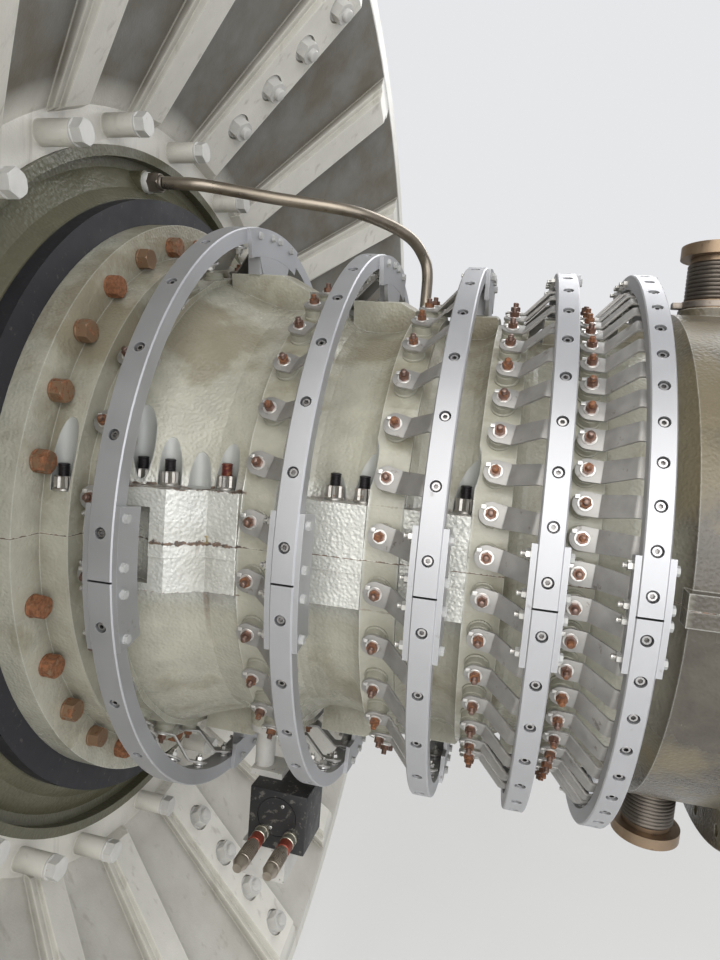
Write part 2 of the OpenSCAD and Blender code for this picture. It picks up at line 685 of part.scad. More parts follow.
// Point on a smooth curve through the route, at piece i and share t
function route_point(i) = pipe_route[max(0, min(len(pipe_route) - 1, i))];
function curve_point(i, t) = let (p0 = route_point(i - 1), p1 = route_point(i),
        p2 = route_point(i + 1), p3 = route_point(i + 2))
    0.5 * (2 * p1 + (p2 - p0) * t + (2 * p0 - 5 * p1 + 4 * p2 - p3) * t * t
        + (3 * p1 - p0 - 3 * p2 + p3) * t * t * t);
pipe_points = concat([for (i = [0:len(pipe_route) - 2], j = [0:pipe_steps - 1])
    curve_point(i, j / pipe_steps)], [pipe_route[len(pipe_route) - 1]]);
function unit(v) = v / norm(v);
// Way of the pipe at its point i, square to the fitting at each end
function pipe_way(i) = i == 0 ? [1, 0, 0] : i == len(pipe_points) - 1 ? at(0, -1, pipe_end[2])
    : unit(pipe_points[i + 1] - pipe_points[i - 1]);
// Corners of the pipe's ring i, square to its way
function pipe_ring(i) = let (d = pipe_way(i), u = unit(cross(d, [0.3, 1, 0])), v = cross(d, u))
    [for (j = [0:pipe_sides - 1]) pipe_points[i]
        + pipe_d / 2 * (cos(j * 360 / pipe_sides) * u + sin(j * 360 / pipe_sides) * v)];
module sealing_air_pipe() {
    n = len(pipe_points);
    s = pipe_sides;
    color("#7d7264") polyhedron(
        [for (i = [0:n - 1]) each pipe_ring(i)],
        concat([[for (j = [0:s - 1]) j]],
            [for (i = [0:n - 2], j = [0:s - 1])
                [i * s + j, (i + 1) * s + j, (i + 1) * s + (j + 1) % s, i * s + (j + 1) % s]],
            [[for (j = [s - 1:-1:0]) (n - 1) * s + j]]), convexity = 10);
}

// Fittings at the two ends of the pipe, on the dish's stub and on the barrel's boss
module pipe_fittings() {
    color("#6f665c") {
        translate(at(pipe_stub_x, pipe_start[1], pipe_start[2]))
            rotate([0, 90, 0]) cylinder(d = pipe_d + 10, h = pipe_start[0] - pipe_stub_x - pipe_joint_gap);
        on_radius(pipe_end[0], pipe_boss_r, pipe_end[2])
            cylinder(d = pipe_d + 8, h = pipe_end[1] - pipe_boss_r - pipe_joint_gap);
    }
}

// The sensor housing below the barrel, its bracket and its two connectors
sensor_x = 255;
sensor_y = -130;
sensor_top = -ring_r[1] + 3;
sensor_depth = 66;
sensor_turn = 2;
sensor_post_x = 256;
sensor_post_y = -84;
sensor_post_d = 26;
sensor_boss_d = 44;
lug_relief = 0.5;
sensor_boss_z = -276;
bracket_t = 8;
bracket_pad = [44, 40, bracket_t];
bracket_foot = [60, 52, 46];
module sensor_place() {
    translate([sensor_x, sensor_y, sensor_top]) rotate([0, 0, -sensor_turn]) children();
}
module sensor_housing() {
    color("#26262a") sensor_place() translate([0, 0, -sensor_h]) cube([sensor_w, sensor_depth, sensor_h]);
}
module sensor_bracket() {
    color("#c9c8c2") {
        sensor_place() translate([-12, sensor_depth - bracket_pad[1], 0]) cube(bracket_pad);
        sensor_place() translate([-8, 4, -sensor_h - bracket_foot[2]]) cube(bracket_foot);
        translate([sensor_post_x, sensor_post_y, sensor_top + 1])
            cylinder(d = sensor_post_d, h = sensor_boss_z - sensor_top - 1);
        translate([sensor_post_x, sensor_post_y, sensor_boss_z - bracket_t])
            cylinder(d = sensor_boss_d, h = bracket_t);
    }
}
connector_d = 19;
connector_len = 76;
connector_x = [20, 58];
connector_z = 21;
module sensor_connectors() {
    color("#8d7a66") sensor_place() for (x = connector_x)
        translate([x, 0, connector_z - sensor_h]) rotate([90, 0, 0])
            cylinder(d = connector_d, h = connector_len);
}

casing_upper_half();
casing_lower_half();
seal_ring();
intake_dish();
intake_wall_upper();
intake_wall_lower();
inlet_guide_vanes();
front_hub();
rotor_drum();
vane_spindles(0);  // vane_spindles_1
vane_spindles(1);  // vane_spindles_2
vane_spindles(2);  // vane_spindles_3
vane_spindles(3);  // vane_spindles_4
vane_spindles(4);  // vane_spindles_5
vane_levers(0);  // vane_levers_1
vane_levers(1);  // vane_levers_2
vane_levers(2);  // vane_levers_3
vane_levers(3);  // vane_levers_4
vane_levers(4);  // vane_levers_5
unison_ring(0);  // unison_ring_1
unison_ring(1);  // unison_ring_2
unison_ring(2);  // unison_ring_3
unison_ring(3);  // unison_ring_4
unison_ring(4);  // unison_ring_5
splice_plates(0);  // ring_1_splice_plates
splice_plates(1);  // ring_2_splice_plates
splice_plates(2);  // ring_3_splice_plates
splice_plates(3);  // ring_4_splice_plates
splice_plates(4);  // ring_5_splice_plates
guide_pads(0);  // ring_1_guide_pads
guide_pads(1);  // ring_2_guide_pads
guide_pads(2);  // ring_3_guide_pads
guide_pads(3);  // ring_4_guide_pads
guide_pads(4);  // ring_5_guide_pads
bleed_nozzles();
sealing_air_pipe();
pipe_fittings();
sensor_housing();
sensor_bracket();
sensor_connectors();
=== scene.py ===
"""Finishes, fasteners, levers, light and camera for the compressor section of a gas turbine.

Everything is in metres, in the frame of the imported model: X runs along the turbine's axis from the intake
face to the rear flange, and Z is up. Angles round the axis start on the near side (-Y) and grow upwards.
"""
import math
import random
from functools import reduce

import bmesh
import bpy
from bpy.props import FloatProperty, FloatVectorProperty, IntProperty, PointerProperty
from mathutils import Matrix, Vector


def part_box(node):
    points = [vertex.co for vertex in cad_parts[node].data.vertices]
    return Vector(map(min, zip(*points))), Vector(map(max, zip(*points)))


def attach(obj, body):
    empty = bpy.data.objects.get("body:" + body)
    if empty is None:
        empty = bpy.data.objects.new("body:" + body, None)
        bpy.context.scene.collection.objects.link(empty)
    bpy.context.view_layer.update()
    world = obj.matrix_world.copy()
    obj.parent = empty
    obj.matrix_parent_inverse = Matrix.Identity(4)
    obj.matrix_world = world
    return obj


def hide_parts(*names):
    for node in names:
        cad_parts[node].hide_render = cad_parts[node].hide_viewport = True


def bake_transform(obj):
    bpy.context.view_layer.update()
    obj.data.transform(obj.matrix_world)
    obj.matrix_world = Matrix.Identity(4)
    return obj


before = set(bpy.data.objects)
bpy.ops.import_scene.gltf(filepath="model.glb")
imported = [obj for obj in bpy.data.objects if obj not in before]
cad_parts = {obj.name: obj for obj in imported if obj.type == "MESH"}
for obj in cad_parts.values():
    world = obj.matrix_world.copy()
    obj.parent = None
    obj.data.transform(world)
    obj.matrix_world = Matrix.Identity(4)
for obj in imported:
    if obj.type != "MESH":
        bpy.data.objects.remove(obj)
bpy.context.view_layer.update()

bl_info = {
    "name": "Compressor section",
    "version": (1, 0, 0),
    "blender": (4, 5, 0),
    "location": "View3D > Sidebar > Compressor",
    "description": "Finishes and fasteners of a gas turbine's compressor section",
    "category": "Object",
}

ROWS = range(5)
VANES = (26, 32, 32, 44, 56)
RING_TURN = (4.28, 2.46, 2.06, 1.58, 0.73)
RING_THICKNESS = (0.018, 0.016, 0.016, 0.016, 0.016)
LEVER_SEAT_R = (0.320, 0.296, 0.283, 0.280, 0.279)
LEVER_DISC_R = (0.0125, 0.0125, 0.0125, 0.0115, 0.0115)
LEVER_TIP_R = (0.0100, 0.0095, 0.0095, 0.0095, 0.0095)
BUSH_HEIGHT = (0.012, 0.014, 0.014, 0.014, 0.014)


def middle_x(node):
    """Middle of a node's box along the turbine's axis."""
    low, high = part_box(node)
    return (low.x + high.x) / 2


RING_X = [middle_x(f"unison_ring_{k + 1}") for k in ROWS]
RING_R = [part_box(f"unison_ring_{k + 1}")[1].z for k in ROWS]
RING_INNER = [outer - thickness for outer, thickness in zip(RING_R, RING_THICKNESS)]
RING_WIDTH = [(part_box(f"unison_ring_{k + 1}")[1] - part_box(f"unison_ring_{k + 1}")[0]).x for k in ROWS]
SPINDLE_X = [middle_x(f"vane_spindles_{k + 1}") for k in ROWS]


def size_property(name, description, default, least):
    return FloatProperty(name=name, description=description, default=default, min=least, unit="LENGTH")


def colour_property(name, description, default):
    return FloatVectorProperty(name=name, description=description, default=default, size=3,
                               subtype="COLOR")


class CompressorSizes(bpy.types.PropertyGroup):
    """Sizes of the small pieces."""
    lever_thickness: size_property("Lever thickness", "Sheet thickness of a lever", 0.0025, 0.001)
    lever_gap: size_property(
        "Lever gap", "Least gap between a lever's end and its ring, filled by washers", 0.004, 0.001)
    lever_bend: size_property(
        "First bend", "Distance from the spindle to a lever's first bend", 0.014, 0.012)
    lever_top: size_property(
        "Second bend", "Distance from the spindle to a lever's second bend", 0.040, 0.030)
    stud_radius: size_property("Stud radius", "Radius of a spindle's threaded end", 0.0031, 0.002)
    stud_height: size_property(
        "Stud height", "Height of a spindle's threaded end over its lever", 0.0115, 0.006)
    nut_flats: size_property("Spindle nut", "Width across the flats of a spindle's nut", 0.0095, 0.006)
    bush_radius: size_property("Bush radius", "Radius of a spindle's bush", 0.0112, 0.008)
    ring_screw_radius: size_property("Ring screw head", "Radius of a ring screw's head", 0.00425, 0.003)
    plate_bolt_flats: size_property(
        "Plate bolt", "Width across the flats of a splice or guide plate's bolt", 0.008, 0.005)
    flange_bolt_flats: size_property(
        "Flange bolt", "Width across the flats of a flange bolt's head", 0.021, 0.015)
    flange_bolt_circle: size_property(
        "Flange bolt circle", "Radius of the front flange's bolt circle", 0.347, 0.30)
    flange_places: IntProperty(
        name="Flange bolt places", default=30, min=12,
        description="Places round the front flange, two of them bare at the split")


class CompressorColours(bpy.types.PropertyGroup):
    """Colours of the finishes, linear."""
    casing: colour_property("Casing paint", "Paint of the casing", (0.50, 0.49, 0.405))
    pads: colour_property("Pad paint", "Silvery paint of the pads along the split", (0.68, 0.685, 0.645))
    # This dirt colour also tints the painted shade in the casing's corners and recesses.
    casing_dirt_and_shade: colour_property("Casing dirt and shade", "Oil and dust on the casing", (0.20, 0.165, 0.095))
    wall: colour_property("Wall paint", "Paint of the intake wall", (0.82, 0.80, 0.73))
    # The dish's olive primer is darkened here as painted shade: the dish lies in shadow.
    dish: colour_property("Dish primer and shade", "Olive primer of the dish", (0.12, 0.115, 0.07))
    alloy: colour_property("Ring alloy", "Brushed metal of the rings", (0.50, 0.505, 0.525))
    lever: colour_property("Lever steel", "Blasted steel of the levers", (0.42, 0.41, 0.395))
    copper: colour_property("Nut coating", "Copper-brown coating of the spindle nuts", (0.21, 0.12, 0.09))
    rust: colour_property("Rust", "Rust on bolts and along the split", (0.155, 0.066, 0.031))
    white: colour_property("Bolt paint", "Paint of the wall's bolts and nuts", (0.66, 0.65, 0.62))


def sizes():
    return bpy.context.scene.compressor_sizes


def colours():
    return bpy.context.scene.compressor_colours


def rgba(colour, share=1.0):
    """A colour with its brightness scaled, as a node socket takes it."""
    return (*[channel * share for channel in colour], 1.0)


# The finishes by name, filled by FinishOperator
FINISHES = {}


# Placing and modelling

def stand(x, radius, angle):
    """Matrix that puts a piece at a place round the turbine, with its own Z along the radius."""
    a = math.radians(angle)
    out = Vector((0, -math.cos(a), math.sin(a)))
    up = Vector((0, math.sin(a), math.cos(a)))
    place = out * radius + Vector((x, 0, 0))
    return Matrix(((1, up.x, out.x, place.x), (0, up.y, out.y, place.y),
                   (0, up.z, out.z, place.z), (0, 0, 0, 1)))


def along_axis(x, radius, angle):
    """Matrix that puts a piece at a place round the turbine, with its own Z along +X."""
    return stand(x, radius, angle) @ Matrix.Rotation(math.radians(90), 4, "Y")


def spin(angle):
    return Matrix.Rotation(math.radians(angle), 4, "Z")


UPSIDE_DOWN = Matrix.Rotation(math.radians(180), 4, "X")


def at_random(places, seed):
    """Places each with a turn of its own, as nuts and bolts end up."""
    chance = random.Random(seed)
    return [place @ spin(chance.uniform(0, 60)) for place in places]


def vane_angle(row, vane):
    return (vane + 0.5) * 360 / VANES[row]


def deselect():
    bpy.ops.object.select_all(action="DESELECT")


def take(obj):
    """Selects one object alone and makes it active."""
    deselect()
    obj.select_set(True)
    bpy.context.view_layer.objects.active = obj


def pick(obj, kind, test):
    """In edit mode, selects the vertices or edges that pass a test."""
    mesh = bmesh.from_edit_mesh(obj.data)
    bpy.ops.mesh.select_all(action="DESELECT")
    mesh.verts.ensure_lookup_table()
    bpy.context.tool_settings.mesh_select_mode = [kind == "VERT", kind == "EDGE", False]
    if kind == "EDGE":
        for edge in mesh.edges:
            edge.select_set(test(*[v.co for v in edge.verts]))
    else:
        for vert in mesh.verts:
            vert.select_set(test(vert.co))
    bmesh.update_edit_mesh(obj.data)


def edit(obj):
    take(obj)
    bpy.ops.object.mode_set(mode="EDIT")


def leave(obj):
    bpy.ops.object.mode_set(mode="OBJECT")
    return obj


def turned(name, profile, sides=24, notch=1.0):
    """A solid turned on Z from (radius, height) points, bottom up; notch pulls in every second corner."""
    deselect()
    radius, height = profile[0]
    bpy.ops.mesh.primitive_circle_add(vertices=sides, radius=radius, fill_type="NGON",
                                      location=(0, 0, height))
    obj = bpy.context.object
    obj.name = name
    bpy.ops.object.transform_apply()
    edit(obj)
    if notch < 1:
        step = math.tau / sides
        pick(obj, "VERT", lambda co: round(math.atan2(co.y, co.x) / step) % 2)
        bpy.ops.transform.resize(value=(notch, notch, 1), center_override=(0, 0, height))
        bpy.ops.mesh.select_all(action="SELECT")
    for new_radius, new_height in profile[1:]:
        bpy.ops.mesh.extrude_region_move(
            TRANSFORM_OT_translate={"value": (0, 0, new_height - height)})
        share = new_radius / radius
        bpy.ops.transform.resize(value=(share, share, 1), center_override=(0, 0, new_height))
        radius, height = new_radius, new_height
    bpy.ops.mesh.select_all(action="SELECT")
    bpy.ops.mesh.normals_make_consistent(inside=False)
    return leave(obj)


def block(name, size, place, bevel):
    """A box with its edges bevelled."""
    deselect()
    bpy.ops.mesh.primitive_cube_add(size=1, location=place)
    obj = bpy.context.object
    obj.name = name
    obj.scale = size
    bpy.ops.object.transform_apply()
    edit(obj)
    bpy.ops.mesh.select_all(action="SELECT")
    bpy.ops.mesh.bevel(offset=bevel, segments=2, affect="EDGES")
    return leave(obj)


def finish_with(obj, kind, **settings):
    """Adds a modifier with its settings and applies it."""
    take(obj)
    modifier = obj.modifiers.new(kind.title(), kind)
    for key, value in settings.items():
        setattr(modifier, key, value)
    bpy.ops.object.modifier_apply(modifier=modifier.name)


def cut(obj, tool, operation="DIFFERENCE"):
    """Cuts a piece with another, or keeps what they share, and removes the tool."""
    finish_with(obj, "BOOLEAN", operation=operation, object=tool, solver="EXACT")
    bpy.data.objects.remove(tool)
    return obj


def smooth(obj, angle=35):
    take(obj)
    bpy.ops.object.shade_smooth_by_angle(angle=math.radians(angle))
    return obj


def join(objects, name):
    """One piece made of several."""
    deselect()
    for obj in objects:
        obj.select_set(True)
    bpy.context.view_layer.objects.active = objects[0]
    if len(objects) > 1:
        bpy.ops.object.join()
    objects[0].name = name
    objects[0].data.name = name
    return objects[0]


def repeat(model, places, name, seed):
    """A copy of a modelled piece at each place, joined; each copy holds its own random tone."""
    chance = random.Random(seed)
    copies = []
    for place in places:
        copy = model.copy()
        copy.data = model.data.copy()
        tone = copy.data.attributes.new("tone", "FLOAT", "POINT")
        tone.data.foreach_set("value", [chance.random()] * len(copy.data.vertices))
        copy.data.transform(place)
        bpy.context.collection.objects.link(copy)
        copies.append(copy)
    bpy.data.objects.remove(model)
    return join(copies, name)


def dress(obj, finish):
    """Gives a piece one finish on all its faces."""
    obj.data.materials.clear()
    obj.data.materials.append(FINISHES[finish])
    return obj


def mount(obj, finish, body="casing", node=None):
    """Gives a piece its finish and the body it rides on, and hides the node it replaces."""
    dress(obj, finish)
    if node:
        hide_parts(node)
    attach(obj, body)


def thread_profile(radius, bottom, top, pitch=0.0012):
    """Ridges of a thread as (radius, height) points, with a broken end."""
    points = [(radius, bottom)]
    height = bottom
    while height + pitch < top - 0.0008:
        points += [(radius, height + pitch * 0.3), (radius * 0.86, height + pitch * 0.6),
                   (radius, height + pitch)]
        height += pitch
    return points + [(radius, top - 0.0007), (radius * 0.78, top)]


def hexed(name, flats, height, base, *rounds):
    """A nut or head with its corners turned off by a cone, joined with turned pieces: washers, ends."""
    corner = flats / math.sqrt(3)
    cone = [(corner * 1.02, -0.001), (corner * 1.02, height * 0.35), (corner * 1.02, height * 0.88),
            (corner * 0.89, height + 0.0001)]
    hexagon = cut(turned(name, [(corner, 0), (corner, height)], 6), turned("cone", cone, 40), "INTERSECT")
    hexagon.data.transform(Matrix.Translation((0, 0, base)))
    return smooth(join([hexagon] + [turned("round", *given) for given in rounds], name))


def model_socket_screw(name, radius, height, key):
    """A socket head with a broken edge and a hexagon socket."""
    head = turned(name, [(radius, 0), (radius, height - 0.0006), (radius - 0.0006, height)], 24)
    corner = key / math.sqrt(3)
    socket = turned("socket", [(corner, height - 0.0032), (corner, height + 0.001)], 6)
    return smooth(cut(head, socket))


# Shader node groups and materials

class Wire:
    """A shader socket that sums can be written with; each sum adds a Math node."""

    def __init__(self, socket):
        self.socket = socket
        self.tree = socket.id_data

    def math(self, operation, a, b=0.0, clamp=False):
        return add(self.tree, "ShaderNodeMath", {0: a, 1: b}, operation=operation, use_clamp=clamp)[0]

    def __add__(self, other):
        return self.math("ADD", self, other)

    def __sub__(self, other):
        return self.math("SUBTRACT", self, other)

    def __rsub__(self, other):
        return self.math("SUBTRACT", other, self)

    def __mul__(self, other):
        return self.math("MULTIPLY", self, other)

    def __truediv__(self, other):
        return self.math("DIVIDE", self, other)

    def __abs__(self):
        return self.math("ABSOLUTE", self)


def give(sockets, values):
    """Links or sets sockets by their names or places."""
    for key, value in values.items():
        if isinstance(value, Wire):
            value.tree.links.new(value.socket, sockets[key])
        else:
            sockets[key].default_value = value


def add(tree, kind, inputs=None, **settings):
    """Adds a node, sets or links its inputs, and returns its outputs by their places and names."""
    node = tree.nodes.new(kind)
    for key, value in settings.items():
        setattr(node, key, value)
    give(node.inputs, inputs or {})
    wires = [Wire(socket) for socket in node.outputs]
    return {**dict(enumerate(wires)), **{wire.socket.name: wire for wire in wires}}


def held(value):
    """A value held between 0 and 1."""
    return value.math("ADD", value, 0.0, True)


def most(values):
    """The greatest of several values."""
    return reduce(lambda a, b: a.math("MAXIMUM", a, b), values)


def hypotenuse(a, b):
    return a.math("SQRT", a * a + b * b)


def parts_of(place):
    """X, Y and Z of a place."""
    parts = add(place.tree, "ShaderNodeSeparateXYZ", {"Vector": place})
    return parts["X"], parts["Y"], parts["Z"]


def place_of(x, y, z):
    return add(x.tree, "ShaderNodeCombineXYZ", {"X": x, "Y": y, "Z": z})[0]


def ranged(value, low, high, to_low=0.0, to_high=1.0):
    """A value carried from one range to another and held at its ends."""
    return add(value.tree, "ShaderNodeMapRange", {
        "Value": value, "From Min": low, "From Max": high, "To Min": to_low, "To Max": to_high})["Result"]


def spread(share, at_none, at_full):
    """A share from 0 to 1 carried to another range."""
    return ranged(share, 0.0, 1.0, at_none, at_full)


def between(value, low, high, soft):
    """1 where a value lies between two bounds, falling to 0 over a soft edge outside them."""
    return ranged(value, low - soft, low) * ranged(value, high + soft, high)


def blend(share, first, second):
    """Two colours mixed by a share."""
    return add(share.tree, "ShaderNodeMix", {0: share, 6: first, 7: second}, data_type="RGBA")[2]


def layered(colour, *layers):
    """A colour with others over it, each where its mask says and by its share."""
    for mask, share, paint in layers:
        colour = blend(mask * share, colour, paint)
    return colour


def noise(place, scale, detail=4.0, roughness=0.55):
    return add(place.tree, "ShaderNodeTexNoise", {
        "Vector": place, "Scale": scale, "Detail": detail, "Roughness": roughness})["Fac"]


ORIGIN = (0.0, 0.0, 0.0)


def group(name, outputs, **inputs):
    """A new shader node group, as its tree, its inputs and the sockets of its outputs."""
    tree = bpy.data.node_groups.new(name, "ShaderNodeTree")
    for socket, default in inputs.items():
        kind = "NodeSocketVector" if default == ORIGIN else "NodeSocketFloat"
        item = tree.interface.new_socket(name=socket, in_out="INPUT", socket_type=kind)
        item.default_value = default
    for socket in outputs:
        tree.interface.new_socket(name=socket, in_out="OUTPUT", socket_type="NodeSocketFloat")
    return tree, add(tree, "NodeGroupInput"), tree.nodes.new("NodeGroupOutput").inputs


def build_cast_grain():
    """Pebbled skin of a painted casting: Height, and Tone for its colour."""
    tree, given, out = group("Cast grain", ["Height", "Tone"], Vector=ORIGIN, Grain=320.0)
    place = given["Vector"]
    cells = add(tree, "ShaderNodeTexVoronoi", {"Vector": place, "Scale": given["Grain"]},
                feature="SMOOTH_F1")["Distance"]
    coarse = noise(place, 38.0, 3.0)
    fine = noise(place, 900.0, 2.0)
    give(out, {"Height": cells * 0.9 + coarse * 1.4 + fine * 0.25, "Tone": ranged(coarse, 0.35, 0.68)})


def build_brushed():
    """Fine lines that run round the turbine's axis: Height and Tone."""
    _, given, out = group("Brushed round", ["Height", "Tone"], Vector=ORIGIN)
    x, y, z = parts_of(given["Vector"])
    angle = z.math("ARCTAN2", z, y)
    fine, along = 1600.0, 6.0
    lines = noise(place_of(x * fine, angle * along, hypotenuse(y, z) * fine), 1.0, 3.0, 0.7)
    cloud = noise(given["Vector"], 26.0, 4.0)
    give(out, {"Height": lines, "Tone": lines * 0.45 + cloud * 0.55})


def build_split_rust():
    """Rust along the casing's split at Z = 0, thick over the first pads, and drips below it: a Mask."""
    _, given, out = group("Split rust", ["Mask"], Vector=ORIGIN, Width=0.003)
    x, y, z = parts_of(given["Vector"])
    wobble = noise(given["Vector"], 150.0, 6.0, 0.75)
    height = abs(z - (wobble - 0.5) * 0.0030)
    first = ranged(x, 0.186, 0.200) * ranged(x, 0.290, 0.262)
    reach = given["Width"] * spread(first, 0.22, 0.95) * ranged(wobble, 0.40, 0.62, 0.1, 1.3)
    line = ranged(held(1.0 - height / reach), 0.0, 0.25)
    columns = noise(place_of(x * 130.0, y * 30.0, z * 4.0), 1.0, 2.0)
    drips = ranged(columns, 0.62, 0.74) * ranged(z, -0.030, 0.0) * ranged(z, 0.002, -0.001)
    give(out, {"Mask": most([line, drips * 0.45])})


def build_edge_highlight_and_wear():
    """Painted highlights along edges, partly worn edges, found by comparing a rounded normal with the true
    one: a Mask.
    """
    tree, given, out = group("Edge highlight and wear", ["Mask"], Radius=0.002)
    rounded = add(tree, "ShaderNodeBevel", {"Radius": given["Radius"]}, samples=4)[0]
    flat = add(tree, "ShaderNodeNewGeometry")["True Normal"]
    same = add(tree, "ShaderNodeVectorMath", {0: rounded, 1: flat}, operation="DOT_PRODUCT")["Value"]
    give(out, {"Mask": ranged(same, 0.975, 0.86)})


def build_corner_shade():
    """Painted shade in corners and recesses, found by ambient occlusion and broken up by a cloud: a Mask.
    """
    tree, given, out = group("Corner shade", ["Mask"], Vector=ORIGIN, Reach=0.05)
    open_share = add(tree, "ShaderNodeAmbientOcclusion", {"Distance": given["Reach"]}, samples=4,
                     only_local=True)["AO"]
    cloud = noise(given["Vector"], 22.0, 4.0)
    give(out, {"Mask": ranged(1.0 - open_share, 0.12, 0.75) * ranged(cloud, 0.25, 0.65, 0.45, 1.0)})


def build_pad_shadow_and_rust():
    """Dark lines along the split pads' upper edge and the line under them, painted shadow lines in rust
    colour that are partly rust, with a rust streak below: a Mask.
    """
    _, given, out = group("Pad shadow and rust", ["Mask"], Vector=ORIGIN)
    x, y, z = parts_of(given["Vector"])
    wobble = noise(given["Vector"], 120.0, 5.0, 0.7)
    marks = []
    # These two lines along the pads' edges are painted shadow lines, coloured as rust.
    for level, reach in ((0.0545, 0.0019), (-0.0505, 0.0014)):
        width = ranged(wobble, 0.44, 0.60, 0.05, 1.2) * reach
        marks.append(ranged(abs(z - level) / width, 1.0, 0.6))
    marks.append(ranged(abs(x - 0.2415), 0.0045, 0.0015) * ranged(z, -0.125, -0.060)
                 * ranged(z, -0.048, -0.051) * ranged(wobble, 0.3, 0.6, 0.2, 0.7))
    outside = ranged(abs(y), 0.225, 0.235)
    share = held(between(x, 0.150, 0.282, 0.004) + between(x, 0.316, 0.506, 0.010) * 0.4)
    give(out, {"Mask": most(marks) * outside * share})


def build_spots():
    """Scattered patches, such as rust spots or chipped paint: a Mask."""
    _, given, out = group("Spots", ["Mask"], Vector=ORIGIN, Scale=60.0, Amount=0.35)
    field = noise(given["Vector"], given["Scale"], 6.0, 0.65)
    edge = 0.78 - given["Amount"] * 0.55
    give(out, {"Mask": ranged(field, edge, edge + 0.07)})


# Pockets with a nut over the split: distance along the axis and from the axis, and the floor's height
SPLIT_BOLTS = ((0.1695, 0.278, 0.054), (0.200, 0.278, 0.054), (0.257, 0.266, 0.054),
               (0.368, 0.251, 0.054), (0.398, 0.251, 0.054), (0.498, 0.246, 0.054),
               (0.1105, 0.324, 0.044))
# The one whose threaded end is red-brown
RED_STUD = 2
# The pocket that holds no nut, and the radius of all of them
BARE_POCKET = (0.230, 0.272)
POCKET_R = 0.0115


def build_pockets():
    """The bare machined walls of the pockets over the split: a Mask."""
    _, given, out = group("Machined pockets", ["Mask"], Vector=ORIGIN)
    x, y, z = parts_of(given["Vector"])
    walls = [ranged(hypotenuse(x - at_x, abs(y) - at_y), POCKET_R + 0.0006, POCKET_R + 0.0002)
             for at_x, at_y in [bolt[:2] for bolt in SPLIT_BOLTS] + [BARE_POCKET]]
    give(out, {"Mask": most(walls) * ranged(z, 0.0435, 0.0440)})


GROUPS = (build_cast_grain, build_brushed, build_split_rust, build_edge_highlight_and_wear, build_corner_shade,
          build_pad_shadow_and_rust, build_spots, build_pockets)


def use(tree, name, **inputs):
    """Places a node group in a material."""
    return add(tree, "ShaderNodeGroup", inputs, node_tree=bpy.data.node_groups[name])


def highlight_shade_and_spots(place, edge_radius, shade_reach, spot_scale, spot_amount):
    """Masks of painted highlights on edges (partly wear), painted shade in corners, and scattered spots."""
    return (use(place.tree, "Edge highlight and wear", Radius=edge_radius)["Mask"],
            use(place.tree, "Corner shade", Vector=place, Reach=shade_reach)["Mask"],
            use(place.tree, "Spots", Vector=place, Scale=spot_scale, Amount=spot_amount)["Mask"])


def start_material(name):
    """A new material with its shader and the object's coordinates."""
    material = bpy.data.materials.new(name)
    material.use_nodes = True
    tree = material.node_tree
    return material, tree.nodes["Principled BSDF"], add(tree, "ShaderNodeTexCoord")["Object"]


def put(shader, colour, rough, metal=0.0, bumps=None, coat=(0.0, 0.03)):
    """Sets a shader; bumps are (height, strength, depth) and the coat is (weight, roughness)."""
    give(shader.inputs, {"Base Color": colour, "Roughness": rough, "Metallic": metal,
                         "Coat Weight": coat[0], "Coat Roughness": coat[1]})
    if bumps:
        height, strength, depth = bumps
        give(shader.inputs, {"Normal": add(shader.id_data, "ShaderNodeBump", {
            "Height": height, "Strength": strength, "Distance": depth})[0]})


def dish_paint(name, base, dirt_and_shade):
    """Primer on a pebbled casting, with dirt in patches, painted shade in its corners, and painted
    highlights on its edges that are partly wear.
    """
    material, shader, place = start_material(name)
    skin = use(place.tree, "Cast grain", Vector=place, Grain=260.0)
    patches = ranged(noise(place, 7.5, 6.0, 0.6), 0.495, 0.72)
    # The second mask is painted shade in the dish's corners and recesses.
    edge_highlight_and_wear, shaded_nooks, speckle = highlight_shade_and_spots(place, 0.002, 0.06, 230.0, 0.16)
    colour = layered(blend(skin["Tone"], rgba(base), rgba(base, 0.86)),
                     (patches, 0.6, rgba(dirt_and_shade)), (shaded_nooks, 0.5, rgba(dirt_and_shade, 0.75)),
                     # Edges painted lighter: a painted highlight, partly wear.
                     (speckle, 0.5, rgba(dirt_and_shade, 0.6)), (edge_highlight_and_wear, 0.55, rgba(base, 1.35)))
    put(shader, colour, spread(patches, 0.34, 0.56) - edge_highlight_and_wear * 0.08, bumps=(skin["Height"], 0.6, 0.0010),
        coat=(0.12, 0.25))
    return material


# The intake wall's cone: where it starts, from the front face and from the axis, and how steep it is
WALL_START_X, WALL_START_R = 0.025, 0.505
WALL_SLOPE = 0.706


